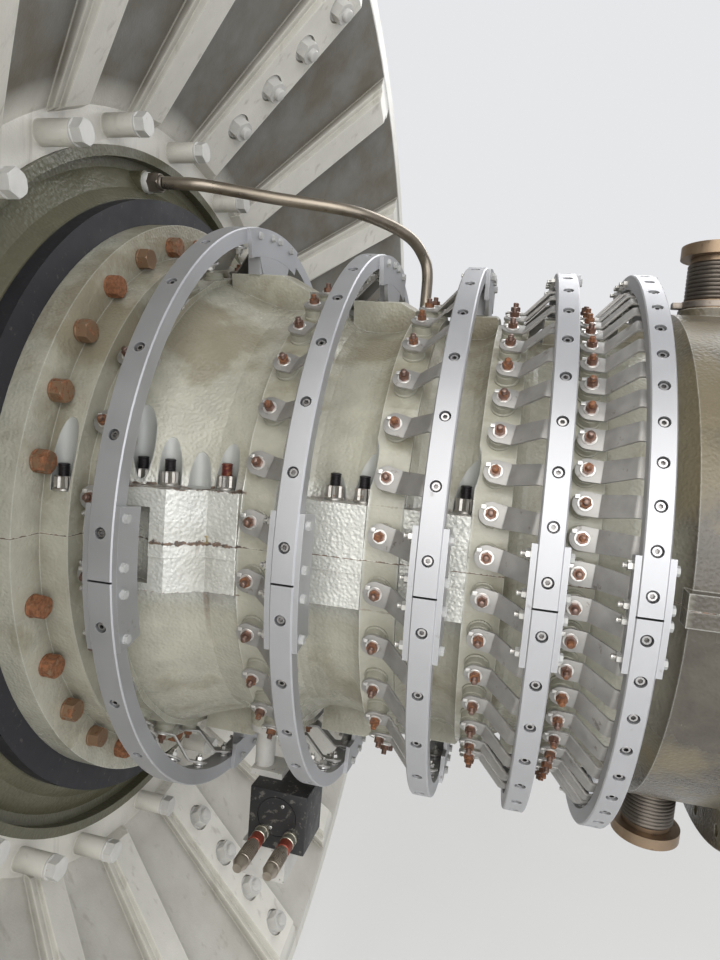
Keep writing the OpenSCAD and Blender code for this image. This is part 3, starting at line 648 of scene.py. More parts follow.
def wall_paint(name, base, dirt_and_shade):
    """White paint on the ribs of the intake wall, painted dark between them as painted shade in the
    recessed panels, partly dirt, more so higher up.
    """
    material, shader, place = start_material(name)
    x, y, z = parts_of(place)
    radius = hypotenuse(y, z)
    rise = x - WALL_START_X - (radius - WALL_START_R) * WALL_SLOPE
    # Painted shade, partly dirt: the recessed panels between the ribs are painted dark, stronger higher up.
    shaded_panel = (ranged(rise, 0.016, 0.002) * ranged(rise, -0.006, -0.002)
             * ranged(radius, WALL_START_R + 0.004, WALL_START_R + 0.03)
             * ranged(z, -0.35, -0.05, 0.35, 0.95))
    cloud = noise(place, 14.0, 5.0, 0.6)
    tone = ranged(cloud, 0.35, 0.65)
    skin = use(place.tree, "Cast grain", Vector=place, Grain=420.0)
    streaks = ranged(noise(place_of(x * 60.0, y * 60.0, z * 5.0), 1.0, 3.0), 0.60, 0.72)
    # Painted shade in the wall's corners and recesses.
    shaded_nooks = use(place.tree, "Corner shade", Vector=place, Reach=0.05)["Mask"]
    # Edges painted lighter: a painted highlight, partly wear.
    edge_highlight_and_wear = use(place.tree, "Edge highlight and wear", Radius=0.004)["Mask"]
    paint = blend(shaded_panel, blend(tone, rgba(base), rgba(base, 0.9)),
                  blend(tone, rgba(base, 0.24), rgba(dirt_and_shade, 0.6)))
    colour = layered(paint, (streaks, 0.3, rgba(dirt_and_shade)), (shaded_nooks, 0.8, rgba(dirt_and_shade, 0.6)),
                     (edge_highlight_and_wear, 0.6, rgba(base, 1.15)))
    put(shader, colour, ranged(cloud, 0.3, 0.7, 0.36, 0.5), bumps=(skin["Height"], 0.5, 0.0005),
        coat=(0.12, 0.25))
    return material


# Start and end of each bay's split pads along the axis, and half the width of a spindle row's band
PAD_SPANS = ((0.157, 0.280), (0.316, 0.406), (0.442, 0.506))
BAND_HALF = 0.017


def compressor_paint(name, base, dirt_and_shade, pad):
    """The casing's paint: silvery on the pads, soiled above, darker brown behind as painted shade, and
    rusty at the split, with painted shadow lines in rust colour along the pads' edges.
    """
    material, shader, place = start_material(name)
    x, y, z = parts_of(place)
    skin = use(place.tree, "Cast grain", Vector=place, Grain=310.0)
    bays = most([between(x, low, high, 0.003) for low, high in PAD_SPANS])
    on_pad = ranged(abs(z), 0.075, 0.056) * ranged(abs(y), 0.225, 0.242) * bays
    # Painted shade: the casing behind ring 5 is painted darker brown where less light reaches it.
    behind = ranged(x, 0.672, 0.700)
    paint = blend(on_pad, blend(skin["Tone"], rgba(base), rgba(base, 0.84)),
                  blend(skin["Tone"], rgba(pad), rgba(pad, 0.86)))
    paint = blend(behind, paint, blend(skin["Tone"], (0.085, 0.075, 0.058, 1), (0.06, 0.052, 0.04, 1)))
    limit = 0.56 - ranged(z, 0.06, 0.22) * 0.13
    patches = ranged(noise(place, 9.0, 6.0, 0.6) - limit, 0.0, 0.12)
    # The second mask is painted shade in corners and recesses.
    edge_highlight_and_wear, shaded_nooks, speckle = highlight_shade_and_spots(place, 0.0022, 0.05, 210.0, 0.17)
    # This mask also holds the pads' painted shadow lines, which take the rust colour.
    rust = most([use(place.tree, "Split rust", Vector=place, Width=0.0034)["Mask"],
                 use(place.tree, "Pad shadow and rust", Vector=place)["Mask"]])
    hue = ranged(noise(place, 260.0, 4.0), 0.35, 0.62)
    rusted = blend(hue, (0.030, 0.020, 0.013, 1), (0.15, 0.072, 0.032, 1))
    pocket = use(place.tree, "Machined pockets", Vector=place)["Mask"]
    colour = layered(paint, (patches, spread(on_pad, 0.62, 0.2), rgba(dirt_and_shade)),
                     (shaded_nooks, 0.75, rgba(dirt_and_shade, 0.6)), (speckle, 0.55, rgba(dirt_and_shade, 0.5)),
                     # Edges painted in a brighter pad colour: a painted highlight, partly wear.
                     (edge_highlight_and_wear, 0.45, rgba(pad, 1.2)), (rust, 0.9, rusted),
                     (pocket, 1.0, (0.47, 0.48, 0.46, 1)))
    rough = held(spread(patches, 0.27, 0.42) + most([rust, pocket]) * 0.28)
    banded = most([between(x, middle - BAND_HALF, middle + BAND_HALF, 0.002) for middle in SPINDLE_X])
    height = (skin["Height"] * spread(on_pad, 0.75, 1.0) * spread(banded, 1.0, 0.4)
              * spread(pocket, 1.0, 0.05))
    put(shader, colour, rough, most([on_pad * 0.3, pocket * 0.25]), (height, 0.75, 0.0013), (0.2, 0.22))
    return material


def brushed_metal(name, base, rough, metal=0.9, stain=0.2):
    """Metal with fine lines round the axis, cloudy tone, a few stains, painted highlights on its edges that
    are partly wear, and painted shade in its recesses.
    """
    material, shader, place = start_material(name)
    lines = use(place.tree, "Brushed round", Vector=place)
    # The second mask darkens recesses to near black as painted shade.
    edge_highlight_and_wear, shaded_nooks, spots = highlight_shade_and_spots(place, 0.0012, 0.007, 42.0, stain)
    colour = layered(blend(lines["Tone"], rgba(base, 0.86), rgba(base, 1.08)),
                     # Edges painted brighter: a painted highlight, partly wear.
                     (spots, 0.55, (0.16, 0.13, 0.10, 1)), (edge_highlight_and_wear, 0.6, rgba(base, 1.4)),
                     (shaded_nooks, 0.9, (0.03, 0.028, 0.025, 1)))
    put(shader, colour, ranged(lines["Tone"], 0.3, 0.7, rough - 0.05, rough + 0.08), metal,
        (lines["Height"], 0.12, 0.00015))
    return material


def blasted_metal(name, base, rough, metal, spots):
    """Bead-blasted or heat-tinted metal with a fine grain and painted shade in its recesses."""
    material, shader, place = start_material(name)
    cloud = noise(place, 60.0, 5.0)
    marks = use(place.tree, "Spots", Vector=place, Scale=85.0, Amount=spots)["Mask"]
    # Painted shade in recesses, near black.
    shaded_nooks = use(place.tree, "Corner shade", Vector=place, Reach=0.005)["Mask"]
    colour = layered(blend(ranged(cloud, 0.3, 0.7), rgba(base, 0.84), rgba(base, 1.1)),
                     (marks, 0.5, (0.10, 0.075, 0.05, 1)), (shaded_nooks, 0.8, (0.035, 0.03, 0.025, 1)))
    put(shader, colour, ranged(cloud, 0.3, 0.7, rough - 0.06, rough + 0.1), metal,
        (noise(place, 1500.0, 2.0), 0.25, 0.0001))
    return material


def rusty_steel(name, clean, rust_share, metal=0.7, scale=240.0, use_tone=True):
    """Steel or coated nuts, each copy more or less rusty by its own tone."""
    material, shader, place = start_material(name)
    field = noise(place, scale, 5.0, 0.7)
    if use_tone:
        own = add(place.tree, "ShaderNodeAttribute", attribute_name="tone")["Fac"]
        field = field + spread(own, -0.16, 0.16)
    edge = 0.66 - rust_share * 0.35
    mask = ranged(field, edge, edge + 0.08)
    hue = ranged(noise(place, scale * 2.2, 3.0), 0.35, 0.65)
    rusted = blend(hue, rgba(colours().rust), rgba(colours().rust, 2.1))
    put(shader, blend(mask, rgba(clean), rusted), spread(mask, 0.34, 0.85), spread(mask, metal, 0.05),
        (field, 0.35, 0.0005))
    return material


def plain_paint(name, base, rough, speck=0.25, speck_colour=(0.10, 0.07, 0.045)):
    """Paint on small parts, with dirt specks and slight orange peel."""
    material, shader, place = start_material(name)
    cloud = noise(place, 45.0, 5.0)
    marks = use(place.tree, "Spots", Vector=place, Scale=120.0, Amount=speck)["Mask"]
    colour = layered(blend(ranged(cloud, 0.3, 0.7), rgba(base, 0.86), rgba(base, 1.04)),
                     (marks, 0.7, rgba(speck_colour)))
    put(shader, colour, ranged(cloud, 0.3, 0.7, rough - 0.05, rough + 0.12),
        bumps=(noise(place, 650.0, 2.0), 0.3, 0.0002))
    return material


def build_materials():
    """Every finish of the object, by name."""
    for build in GROUPS:
        build()
    c = colours()
    oil = (0.25, 0.16, 0.09)
    return {
        "casing": compressor_paint("Casing paint", c.casing, c.casing_dirt_and_shade, c.pads),
        "dish": dish_paint("Dish primer and shade", c.dish, (0.10, 0.09, 0.05)),
        "wall": wall_paint("Wall paint", c.wall, (0.22, 0.19, 0.14)),
        "seal": plain_paint("Black seal", (0.022, 0.022, 0.028), 0.55, 0.3, (0.10, 0.09, 0.08)),
        "ring": brushed_metal("Ring alloy", c.alloy, 0.50, 0.78, 0.14),
        "plate": brushed_metal("Plate alloy", [v * 0.95 for v in c.alloy], 0.48, 0.75, 0.25),
        "lever": blasted_metal("Lever steel", c.lever, 0.52, 0.7, 0.3),
        "bush": plain_paint("Bush paint", [v * 0.8 for v in c.casing], 0.4, 0.12),
        "copper_nut": rusty_steel("Copper nut", c.copper, 0.34, 0.75),
        "stud": rusty_steel("Stud", (0.22, 0.15, 0.125), 0.40, 0.75),
        "washer": blasted_metal("Washer", (0.80, 0.79, 0.77), 0.30, 0.7, 0.03),
        "screw": blasted_metal("Ring screw", (0.50, 0.49, 0.49), 0.26, 0.95, 0.12),
        "wall_bolt": plain_paint("Wall bolt paint", c.white, 0.38, 0.2, oil),
        "plate_bolt": plain_paint("Plate bolt paint", (0.46, 0.465, 0.455), 0.36, 0.15, oil),
        "end_nut": blasted_metal("End nut", (0.66, 0.65, 0.62), 0.28, 0.85, 0.15),
        "brass": blasted_metal("Brass", (0.42, 0.34, 0.20), 0.35, 0.9, 0.35),
        "red_stud": rusty_steel("Red stud", (0.15, 0.035, 0.03), 0.3, 0.4),
        "sleeve_metal": blasted_metal("Sleeve metal", (0.16, 0.14, 0.12), 0.40, 0.85, 0.3),
        "socket": blasted_metal("Socket plating", (0.62, 0.60, 0.50), 0.30, 0.9, 0.25),
        "rusty_bolt": rusty_steel("Rusty bolt", (0.27, 0.17, 0.105), 0.62, 0.5, 110.0),
        "split_nut": rusty_steel("Split nut", (0.50, 0.48, 0.45), 0.10, 0.95),
        "dark_stud": rusty_steel("Dark stud", (0.035, 0.032, 0.034), 0.1, 0.6),
        "vane": brushed_metal("Vane steel", (0.42, 0.42, 0.41), 0.35),
        "hub": plain_paint("Hub primer", (0.40, 0.40, 0.34), 0.5),
        "rotor": brushed_metal("Rotor steel", (0.30, 0.29, 0.27), 0.4),
        "nozzle": blasted_metal("Nozzle steel", (0.30, 0.22, 0.15), 0.38, 0.8, 0.35),
        "pipe": blasted_metal("Pipe steel", (0.30, 0.26, 0.21), 0.30, 0.85, 0.25),
        "fitting": blasted_metal("Fitting steel", (0.24, 0.21, 0.18), 0.38, 0.85, 0.4),
        "sensor": plain_paint("Sensor black", (0.018, 0.018, 0.02), 0.42, 0.4, (0.16, 0.15, 0.13)),
        "bracket": plain_paint("Bracket paint", (0.60, 0.59, 0.56), 0.45, 0.3),
        "connector": blasted_metal("Connector metal", (0.42, 0.37, 0.31), 0.4, 0.8, 0.4),
        "sleeve": rusty_steel("Connector sleeve", (0.30, 0.07, 0.045), 0.2, 0.5, 200.0, False),
    }


FINISH_OF = {
    "casing_upper_half": "casing", "casing_lower_half": "casing", "seal_ring": "seal",
    "intake_dish": "dish", "intake_wall_upper": "wall", "intake_wall_lower": "wall",
    "inlet_guide_vanes": "vane", "front_hub": "hub", "rotor_drum": "rotor", "bleed_nozzles": "nozzle",
    "sealing_air_pipe": "pipe", "pipe_fittings": "fitting", "sensor_housing": "sensor",
    "sensor_bracket": "bracket", "sensor_connectors": "connector",
}
for row in ROWS:
    FINISH_OF[f"unison_ring_{row + 1}"] = "ring"
    FINISH_OF[f"ring_{row + 1}_splice_plates"] = "plate"
    FINISH_OF[f"ring_{row + 1}_guide_pads"] = "plate"
    FINISH_OF[f"vane_spindles_{row + 1}"] = "bush"
    FINISH_OF[f"vane_levers_{row + 1}"] = "lever"

class FinishOperator(bpy.types.Operator):
    """Gives every carried-over node its finish."""
    bl_idname = "compressor.finishes"
    bl_label = "Finishes"

    def execute(self, context):
        FINISHES.update(build_materials())
        for node, finish in FINISH_OF.items():
            dress(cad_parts[node], finish)
        return {"FINISHED"}


# Levers, spindles, rings and their fasteners

def lever_run(row):
    """How far a lever reaches round the axis and along it, from its spindle to its ring's screw."""
    return RING_INNER[row] * math.sin(math.radians(RING_TURN[row])), RING_X[row] - SPINDLE_X[row]


def lever_rise(row):
    """How far a lever's end stands over its seat, close under its ring."""
    s = sizes()
    under_ring = math.sqrt(RING_INNER[row] ** 2 - (lever_run(row)[0] + LEVER_TIP_R[row]) ** 2)
    return under_ring - s.lever_gap - s.lever_thickness - LEVER_SEAT_R[row]


def spindle_places(row, radius):
    """A place on every spindle of a row."""
    return [stand(SPINDLE_X[row], radius, vane_angle(row, i)) for i in range(VANES[row])]


def screw_places(row, radius):
    """A place at every lever's end, in the middle of its ring."""
    return [stand(RING_X[row], radius, vane_angle(row, i) - RING_TURN[row]) for i in range(VANES[row])]


def model_lever(row):
    """A cranked lever: a stretched round of sheet, bent twice, thickened and with its edges broken."""
    s = sizes()
    length = math.hypot(*lever_run(row))
    disc = LEVER_DISC_R[row]
    deselect()
    bpy.ops.mesh.primitive_circle_add(vertices=40, radius=disc, fill_type="NGON")
    obj = bpy.context.object
    edit(obj)
    pick(obj, "VERT", lambda co: co.x > -disc * 0.01)
    bpy.ops.transform.translate(value=(length, 0, 0))
    share = LEVER_TIP_R[row] / disc
    pick(obj, "VERT", lambda co: co.x > length / 2)
    bpy.ops.transform.resize(value=(share, share, 1), center_override=(length, 0, 0))
    for bend in (s.lever_bend, s.lever_top):
        bpy.ops.mesh.select_all(action="SELECT")
        bpy.ops.mesh.bisect(plane_co=(bend, 0, 0), plane_no=(1, 0, 0))
    hair = 0.0001
    pick(obj, "VERT", lambda co: co.x > s.lever_top - hair)
    bpy.ops.transform.translate(value=(0, 0, lever_rise(row)))
    for bend in (s.lever_bend, s.lever_top):
        pick(obj, "EDGE", lambda a, b: abs(a.x - bend) < hair and abs(b.x - bend) < hair)
        bpy.ops.mesh.bevel(offset=0.0016, segments=3, affect="EDGES")
    bpy.ops.mesh.select_all(action="SELECT")
    bpy.ops.mesh.normals_make_consistent(inside=False)
    leave(obj)
    if obj.data.polygons[0].normal.z < 0:
        obj.data.flip_normals()
    finish_with(obj, "SOLIDIFY", thickness=s.lever_thickness, offset=1)
    finish_with(obj, "BEVEL", width=0.0004, segments=2, angle_limit=math.radians(50))
    return smooth(obj)


class LeverOperator(bpy.types.Operator):
    """Models each row of cranked levers."""
    bl_idname = "compressor.levers"
    bl_label = "Levers"

    def execute(self, context):
        for row in ROWS:
            swing = spin(-math.degrees(math.atan2(*lever_run(row))))
            places = [place @ swing for place in spindle_places(row, LEVER_SEAT_R[row])]
            levers = dress(repeat(model_lever(row), places, f"row_{row + 1}_levers", row), "lever")
            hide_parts(f"vane_levers_{row + 1}")
            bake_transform(levers)
        return {"FINISHED"}


class SpindleOperator(bpy.types.Operator):
    """Models the bush, washer, lock tab, nut and threaded end on each spindle."""
    bl_idname = "compressor.spindles"
    bl_label = "Spindles"

    def execute(self, context):
        s = sizes()
        washer_h, nut_h = 0.0012, 0.0052
        r, neck = s.bush_radius, s.bush_radius - 0.0012
        for row in ROWS:
            bush_h = BUSH_HEIGHT[row]
            top = bush_h + s.lever_thickness
            seat = top + washer_h
            places = spindle_places(row, LEVER_SEAT_R[row] - bush_h)
            spun = at_random(places, 20 + row)
            bush = turned("bush", [
                (r + 0.0012, 0.0), (r + 0.0012, 0.0022), (r, 0.003), (r, bush_h - 0.0035),
                (neck, bush_h - 0.003), (neck, bush_h - 0.0012), (r, bush_h - 0.001), (r, bush_h)], 28)
            washer = turned("washer", [(0.0068, top), (0.0071, top + 0.0002), (0.0071, seat - 0.0003),
                                       (0.0067, seat)], 28)
            tab = block("tab", (0.0046, 0.0038, 0.0014), (-0.0072, 0.0060, top + 0.0010), 0.0003)
            nut = hexed("nut", s.nut_flats, nut_h, seat)
            stud = turned("stud", thread_profile(s.stud_radius, seat + nut_h - 0.001,
                                                 top + s.stud_height), 14)
            bushes = repeat(smooth(bush), places, f"row_{row + 1}_bushes", row)
            washers = repeat(smooth(join([washer, tab], "washer")), places, f"row_{row + 1}_washers", row)
            nuts = repeat(nut, spun, f"row_{row + 1}_nuts", 40 + row)
            studs = repeat(smooth(stud, 60), spun, f"row_{row + 1}_studs", 60 + row)
            mount(bushes, "bush", node=f"vane_spindles_{row + 1}")
            mount(washers, "washer")
            mount(nuts, "copper_nut")
            mount(studs, "stud")
        return {"FINISHED"}


class LeverEndOperator(bpy.types.Operator):
    """Models the washers between each lever's end and its ring, and the nut and thread under it."""
    bl_idname = "compressor.lever_ends"
    bl_label = "Lever ends"

    def execute(self, context):
        sheet = sizes().lever_thickness
        for row in ROWS:
            ring = f"ring_{row + 1}"
            top = math.hypot(LEVER_SEAT_R[row] + lever_rise(row) + sheet, lever_run(row)[0])
            gap = RING_INNER[row] - top
            washer = turned("end_washer", [
                (0.0062, -0.0004), (0.0066, 0.0), (0.0066, gap * 0.34), (0.0058, gap * 0.42),
                (0.0047, gap * 0.56), (0.0062, gap * 0.62), (0.0062, gap - 0.0002), (0.0060, gap)], 20)
            washers = repeat(smooth(washer), screw_places(row, top), f"{ring}_end_washers", 120 + row)
            nut = hexed("end_nut", 0.008, 0.0045, 0.0010,
                        ([(0.0050, 0.0), (0.0052, 0.0003), (0.0052, 0.0011), (0.0046, 0.0013)], 20),
                        (thread_profile(0.0025, 0.0050, 0.0092, 0.0010), 10))
            places = [place @ UPSIDE_DOWN @ spin(17 * i)
                      for i, place in enumerate(screw_places(row, top - sheet + 0.0003))]
            mount(washers, "washer", ring)
            mount(repeat(nut, places, f"{ring}_end_nuts", 140 + row), "end_nut", ring)
        return {"FINISHED"}


class RingScrewOperator(bpy.types.Operator):
    """Models the socket screw over each lever's end, in its counterbore."""
    bl_idname = "compressor.ring_screws"
    bl_label = "Ring screws"

    def execute(self, context):
        depth, sunk = 0.007, 0.0016
        for row in ROWS:
            places = at_random(screw_places(row, RING_R[row] - depth), 80 + row)
            model = model_socket_screw("screw", sizes().ring_screw_radius, depth - sunk, 0.004)
            screws = repeat(model, places, f"ring_{row + 1}_screws", 100 + row)
            mount(screws, "screw", f"ring_{row + 1}")
        return {"FINISHED"}


# Angles from the middle of a splice or guide plate to its outer and its inner bolts, for each ring
OUTER_BOLT = (9.2, 9.2, 9.0, 7.9, 7.1)
INNER_BOLT = (2.0, 2.3, 2.3, 1.7, 1.2)


class PlateBoltOperator(bpy.types.Operator):
    """Models the painted bolts and the nuts of the splice and guide plates."""
    bl_idname = "compressor.plate_bolts"
    bl_label = "Plate bolts"

    def execute(self, context):
        plate_t, inset, hex_h = 0.005, 0.0102, 0.0042
        flats = sizes().plate_bolt_flats
        for row in ROWS:
            ring = f"ring_{row + 1}"
            front = RING_X[row] - RING_WIDTH[row] / 2
            rear = RING_X[row] + RING_WIDTH[row] / 2 + plate_t
            radius = RING_R[row] - inset
            bolts = (-OUTER_BOLT[row], -INNER_BOLT[row], INNER_BOLT[row], OUTER_BOLT[row])
            spliced = [a - RING_TURN[row] + b for a in (0, 180) for b in bolts]
            guided = [a - RING_TURN[row] + b for a in (90, 270) for b in bolts]
            head = hexed("head", flats, hex_h, 0.0,
                         ([(0.0049, -0.0002), (0.0049, 0.0008), (0.0046, 0.0010)], 20))
            nut = hexed("plate_nut", flats, hex_h, 0.0,
                        (thread_profile(0.0025, 0.0040, 0.0088, 0.0010), 12))
            behind = at_random([along_axis(rear, radius, a) for a in spliced + guided], 30 + row)
            ahead = [along_axis(front - plate_t, radius, a) @ UPSIDE_DOWN for a in spliced]
            ahead += [along_axis(front, radius, a) @ UPSIDE_DOWN for a in guided]
            mount(repeat(head, behind, f"{ring}_plate_bolts", row), "plate_bolt", ring)
            mount(repeat(nut, ahead, f"{ring}_plate_nuts", 50 + row), "end_nut", ring)
        return {"FINISHED"}


# Fasteners and small pieces of the casing

# The front flange's face that its bolts stand on
FLANGE_FACE_X = 0.092


class FlangeBoltOperator(bpy.types.Operator):
    """Models the rusty hexagon bolts round the casing's front flange."""
    bl_idname = "compressor.flange_bolts"
    bl_label = "Flange bolts"

    def execute(self, context):
        s = sizes()
        bolt = hexed("flange_bolt", s.flange_bolt_flats, 0.0120, 0.0024,
                     ([(0.0114, -0.0002), (0.0118, 0.0003), (0.0118, 0.0021), (0.0114, 0.0025)], 36))
        step = 360 / s.flange_places
        places = [along_axis(FLANGE_FACE_X, s.flange_bolt_circle, i * step)
                  for i in range(s.flange_places) if (i * step) % 180]
        bolts = repeat(bolt, at_random(places, 7), "flange_bolts", 9)
        mount(bolts, "rusty_bolt")
        return {"FINISHED"}


class SplitBoltOperator(bpy.types.Operator):
    """Models the twelve-point nuts and threaded ends in the pockets over the split."""
    bl_idname = "compressor.split_bolts"
    bl_label = "Split bolts"

    def execute(self, context):
        spots = [Matrix.Translation((x, side * y, z)) for side in (-1, 1) for x, y, z in SPLIT_BOLTS]
        collar = turned("collar", [(0.0098, 0.0), (0.0100, 0.0004), (0.0100, 0.0020),
                                   (0.0088, 0.0030)], 32)
        points = turned("points", [(0.0092, 0.0025), (0.0092, 0.0135), (0.0084, 0.0145)], 24, 0.84)
        nuts = repeat(smooth(join([collar, points], "split_nut"), 25), spots, "split_nuts", 3)
        mount(nuts, "split_nut")
        profile = thread_profile(0.0056, 0.0130, 0.0270, 0.0015)
        for red, name, seed, finish in ((False, "split_studs", 4, "dark_stud"),
                                        (True, "red_studs", 5, "red_stud")):
            own = [spot for i, spot in enumerate(spots) if (i % len(SPLIT_BOLTS) == RED_STUD) == red]
            studs = repeat(smooth(turned("end", profile, 18), 60), own, name, seed)
            mount(studs, finish)
        return {"FINISHED"}


class SplitDetailOperator(bpy.types.Operator):
    """Models the jacking slot's plate over the split, and the small plug under it."""
    bl_idname = "compressor.split_details"
    bl_label = "Split details"

    def execute(self, context):
        for side, name in ((-1, "near"), (1, "far")):
            plate = block(f"jacking_plate_{name}", (0.0185, 0.004, 0.0080),
                          (0.2405, side * 0.2848, 0.0042), 0.0006)
            hollow = block("hollow", (0.0150, 0.004, 0.0050), (0.2405, side * 0.2875, 0.0040), 0.0004)
            mount(smooth(cut(plate, hollow)), "brass")
            plug = turned(f"drain_plug_{name}",
                          [(0.0030, 0.0), (0.0030, 0.0014), (0.0024, 0.0016), (0.0022, 0.0006)], 24)
            plug.data.transform(Matrix.Translation((0.2245, side * 0.2836, -0.021))
                                @ Matrix.Rotation(math.radians(-90 * side), 4, "X"))
            mount(smooth(plug), "dark_stud")
        return {"FINISHED"}


# Angles of the long bosses of the intake wall's upper half, mirrored for the lower
BOSS_ANGLES = [12 + 15 * j for j in range(5)] + [90] + [168 - 15 * j for j in range(5)]
# Where the bosses end, and the radius of their circle
BOSS_END_X, BOSS_CIRCLE = 0.066, 0.485


class WallBoltOperator(bpy.types.Operator):
    """Models the painted bolts on the intake wall's bosses, and the nuts of its joint."""
    bl_idname = "compressor.wall_bolts"
    bl_label = "Wall bolts"

    def execute(self, context):
        bolt = hexed("wall_bolt", 0.0240, 0.0120, 0.0025,
                     ([(0.0135, -0.0002), (0.0140, 0.0003), (0.0140, 0.0022), (0.0134, 0.0026)], 32))
        nut = hexed("joint_nut", 0.028, 0.0170, 0.0030,
                    ([(0.0178, -0.0002), (0.0182, 0.0004), (0.0182, 0.0030), (0.0176, 0.0035)], 36),
                    ([(0.0088, 0.0195), (0.0088, 0.0250), (0.0076, 0.0268), (0.0040, 0.0280)], 24))
        places = [along_axis(BOSS_END_X, BOSS_CIRCLE, side * a) for side in (1, -1) for a in BOSS_ANGLES]
        mount(repeat(bolt, at_random(places, 11), "wall_bolts", 12), "wall_bolt")
        mount(repeat(nut, self.joint_places(), "joint_nuts", 13), "wall_bolt")
        return {"FINISHED"}

    def joint_places(self):
        """Floors of the pockets along the crest of the rib where two castings join."""
        start, way, pitch, first, depth = (0.042, 0.504), (0.609, 0.793), 0.075, 0.073, 0.006
        tilt = Matrix.Rotation(math.atan2(way[1], -way[0]), 4, "Y")
        places = []
        for angle in (99, -99):
            for i in range(4):
                along = first + i * pitch
                x = start[0] + way[0] * along - way[1] * depth
                radius = start[1] + way[1] * along + way[0] * depth
                places.append(stand(x, radius, angle) @ tilt)
        return places


def tube(name, points, radius):
    """A smooth round tube through points, as a mesh."""
    deselect()
    bpy.ops.curve.primitive_nurbs_path_add()
    obj = bpy.context.object
    obj.name = name
    obj.data.splines.clear()
    spline = obj.data.splines.new("POLY")
    spline.points.add(len(points) - 1)
    for point, place in zip(spline.points, points):
        point.co = (*place, 1.0)
    obj.data.bevel_depth = radius
    obj.data.bevel_resolution = 10
    obj.data.use_fill_caps = True
    obj.location = (0, 0, 0)
    bpy.ops.object.convert(target="MESH")
    return smooth(bpy.context.object, 40)


# Route of the sealing air pipe: distance along the axis, radius and angle, as its solid runs
PIPE_ROUTE = ((0.060, 0.426, 80), (0.096, 0.426, 81), (0.128, 0.424, 83), (0.2004, 0.416, 86),
              (0.2898, 0.410, 90), (0.3338, 0.408, 96), (0.3658, 0.402, 101), (0.3828, 0.388, 105),
              (0.3898, 0.368, 107), (0.3898, 0.330, 110), (0.3898, 0.276, 113))
# Seats of its fittings: the dish's face, and the radius of the boss on the barrel
PIPE_SEAT_X, PIPE_BOSS_R = 0.034, 0.264


def pipe_points(steps=6):
    """Points of the smooth curve that the pipe's solid follows."""
    route = [stand(*place).translation for place in PIPE_ROUTE]
    points = []
    for i in range(len(route) - 1):
        p0, p1 = route[max(i - 1, 0)], route[i]
        p2, p3 = route[i + 1], route[min(i + 2, len(route) - 1)]
        for j in range(steps):
            t = j / steps
            points.append(0.5 * (2 * p1 + (p2 - p0) * t + (2 * p0 - 5 * p1 + 4 * p2 - p3) * t * t
                                 + (3 * p1 - p0 - 3 * p2 + p3) * t * t * t))
    return points + [route[-1]]


class PipeOperator(bpy.types.Operator):
    """Models the sealing air pipe with a nut at each end and a collar at the dish's end."""
    bl_idname = "compressor.pipe"
    bl_label = "Sealing air pipe"

    def execute(self, context):
        pipe = tube("air_pipe", pipe_points(), 0.008)
        mount(pipe, "pipe", node="sealing_air_pipe")
        dish_nut = hexed("nut", 0.0225, 0.0150, 0.0075,
                         ([(0.0102, 0.0215), (0.0102, 0.0240), (0.0090, 0.0258)], 32))
        collar = smooth(turned("collar", [(0.0128, 0.0), (0.0130, 0.0010), (0.0130, 0.0065),
                                          (0.0122, 0.0078)], 36))
        barrel_nut = hexed("nut", 0.0205, 0.0105, 0.0010,
                           ([(0.0112, -0.0002), (0.0112, 0.0018), (0.0106, 0.0022)], 32))
        at_dish = along_axis(PIPE_SEAT_X, *PIPE_ROUTE[0][1:])
        at_barrel = stand(PIPE_ROUTE[-1][0], PIPE_BOSS_R, PIPE_ROUTE[-1][2])
        for piece, place, name, seed, finish in (
                (dish_nut, at_dish, "pipe_nut", 3, "fitting"),
                (collar, at_dish, "pipe_collar", 4, "wall_bolt"),
                (barrel_nut, at_barrel, "pipe_barrel_nut", 5, "fitting")):
            mount(repeat(piece, [place], name, seed), finish, node="pipe_fittings")
        return {"FINISHED"}


class NozzleOperator(bpy.types.Operator):
    """Models the ribbed sleeve and the clamp on each bleed nozzle."""
    bl_idname = "compressor.nozzles"
    bl_label = "Bleed nozzles"

    def execute(self, context):
        profile = [(0.0303, 0.307)]
        height = 0.309
        for _ in range(9):
            profile += [(0.0325, height), (0.0325, height + 0.0022), (0.0309, height + 0.0030)]
            height += 0.0048
        profile.append((0.0303, height))
        middle = Matrix.Translation((middle_x("bleed_nozzles"), 0, 0))
        places = [middle @ Matrix.Rotation(math.radians(turn), 4, "X") for turn in (0, 180)]
        sleeves = repeat(smooth(turned("sleeve", profile, 64), 50), places, "nozzle_sleeves", 6)
        band = turned("band", [(0.0368, 0.2975), (0.0372, 0.2980), (0.0372, 0.3045),
                               (0.0368, 0.3050)], 64)
        lug = block("lug", (0.012, 0.012, 0.0075), (-0.041, -0.004, 0.301), 0.0012)
        bands = repeat(smooth(join([band, lug], "band")), places, "nozzle_bands", 7)
        mount(sleeves, "sleeve_metal")
        mount(bands, "fitting")
        return {"FINISHED"}


# Sensor housing: the top corner that its place is measured from, its size, and its turn round Z
SENSOR_CORNER = (0.255, -0.130, -0.342)
SENSOR_SIZE = (0.077, 0.066, 0.079)
SENSOR_TURN = -2
# Its cover's middle and the cover's screws, from that corner, and where along it the connectors stand
COVER_MIDDLE = (0.0378, -0.0343)
COVER_SCREWS = ((0.0452, -0.0185), (0.0305, -0.0500))
CONNECTOR_X = (0.020, 0.058)


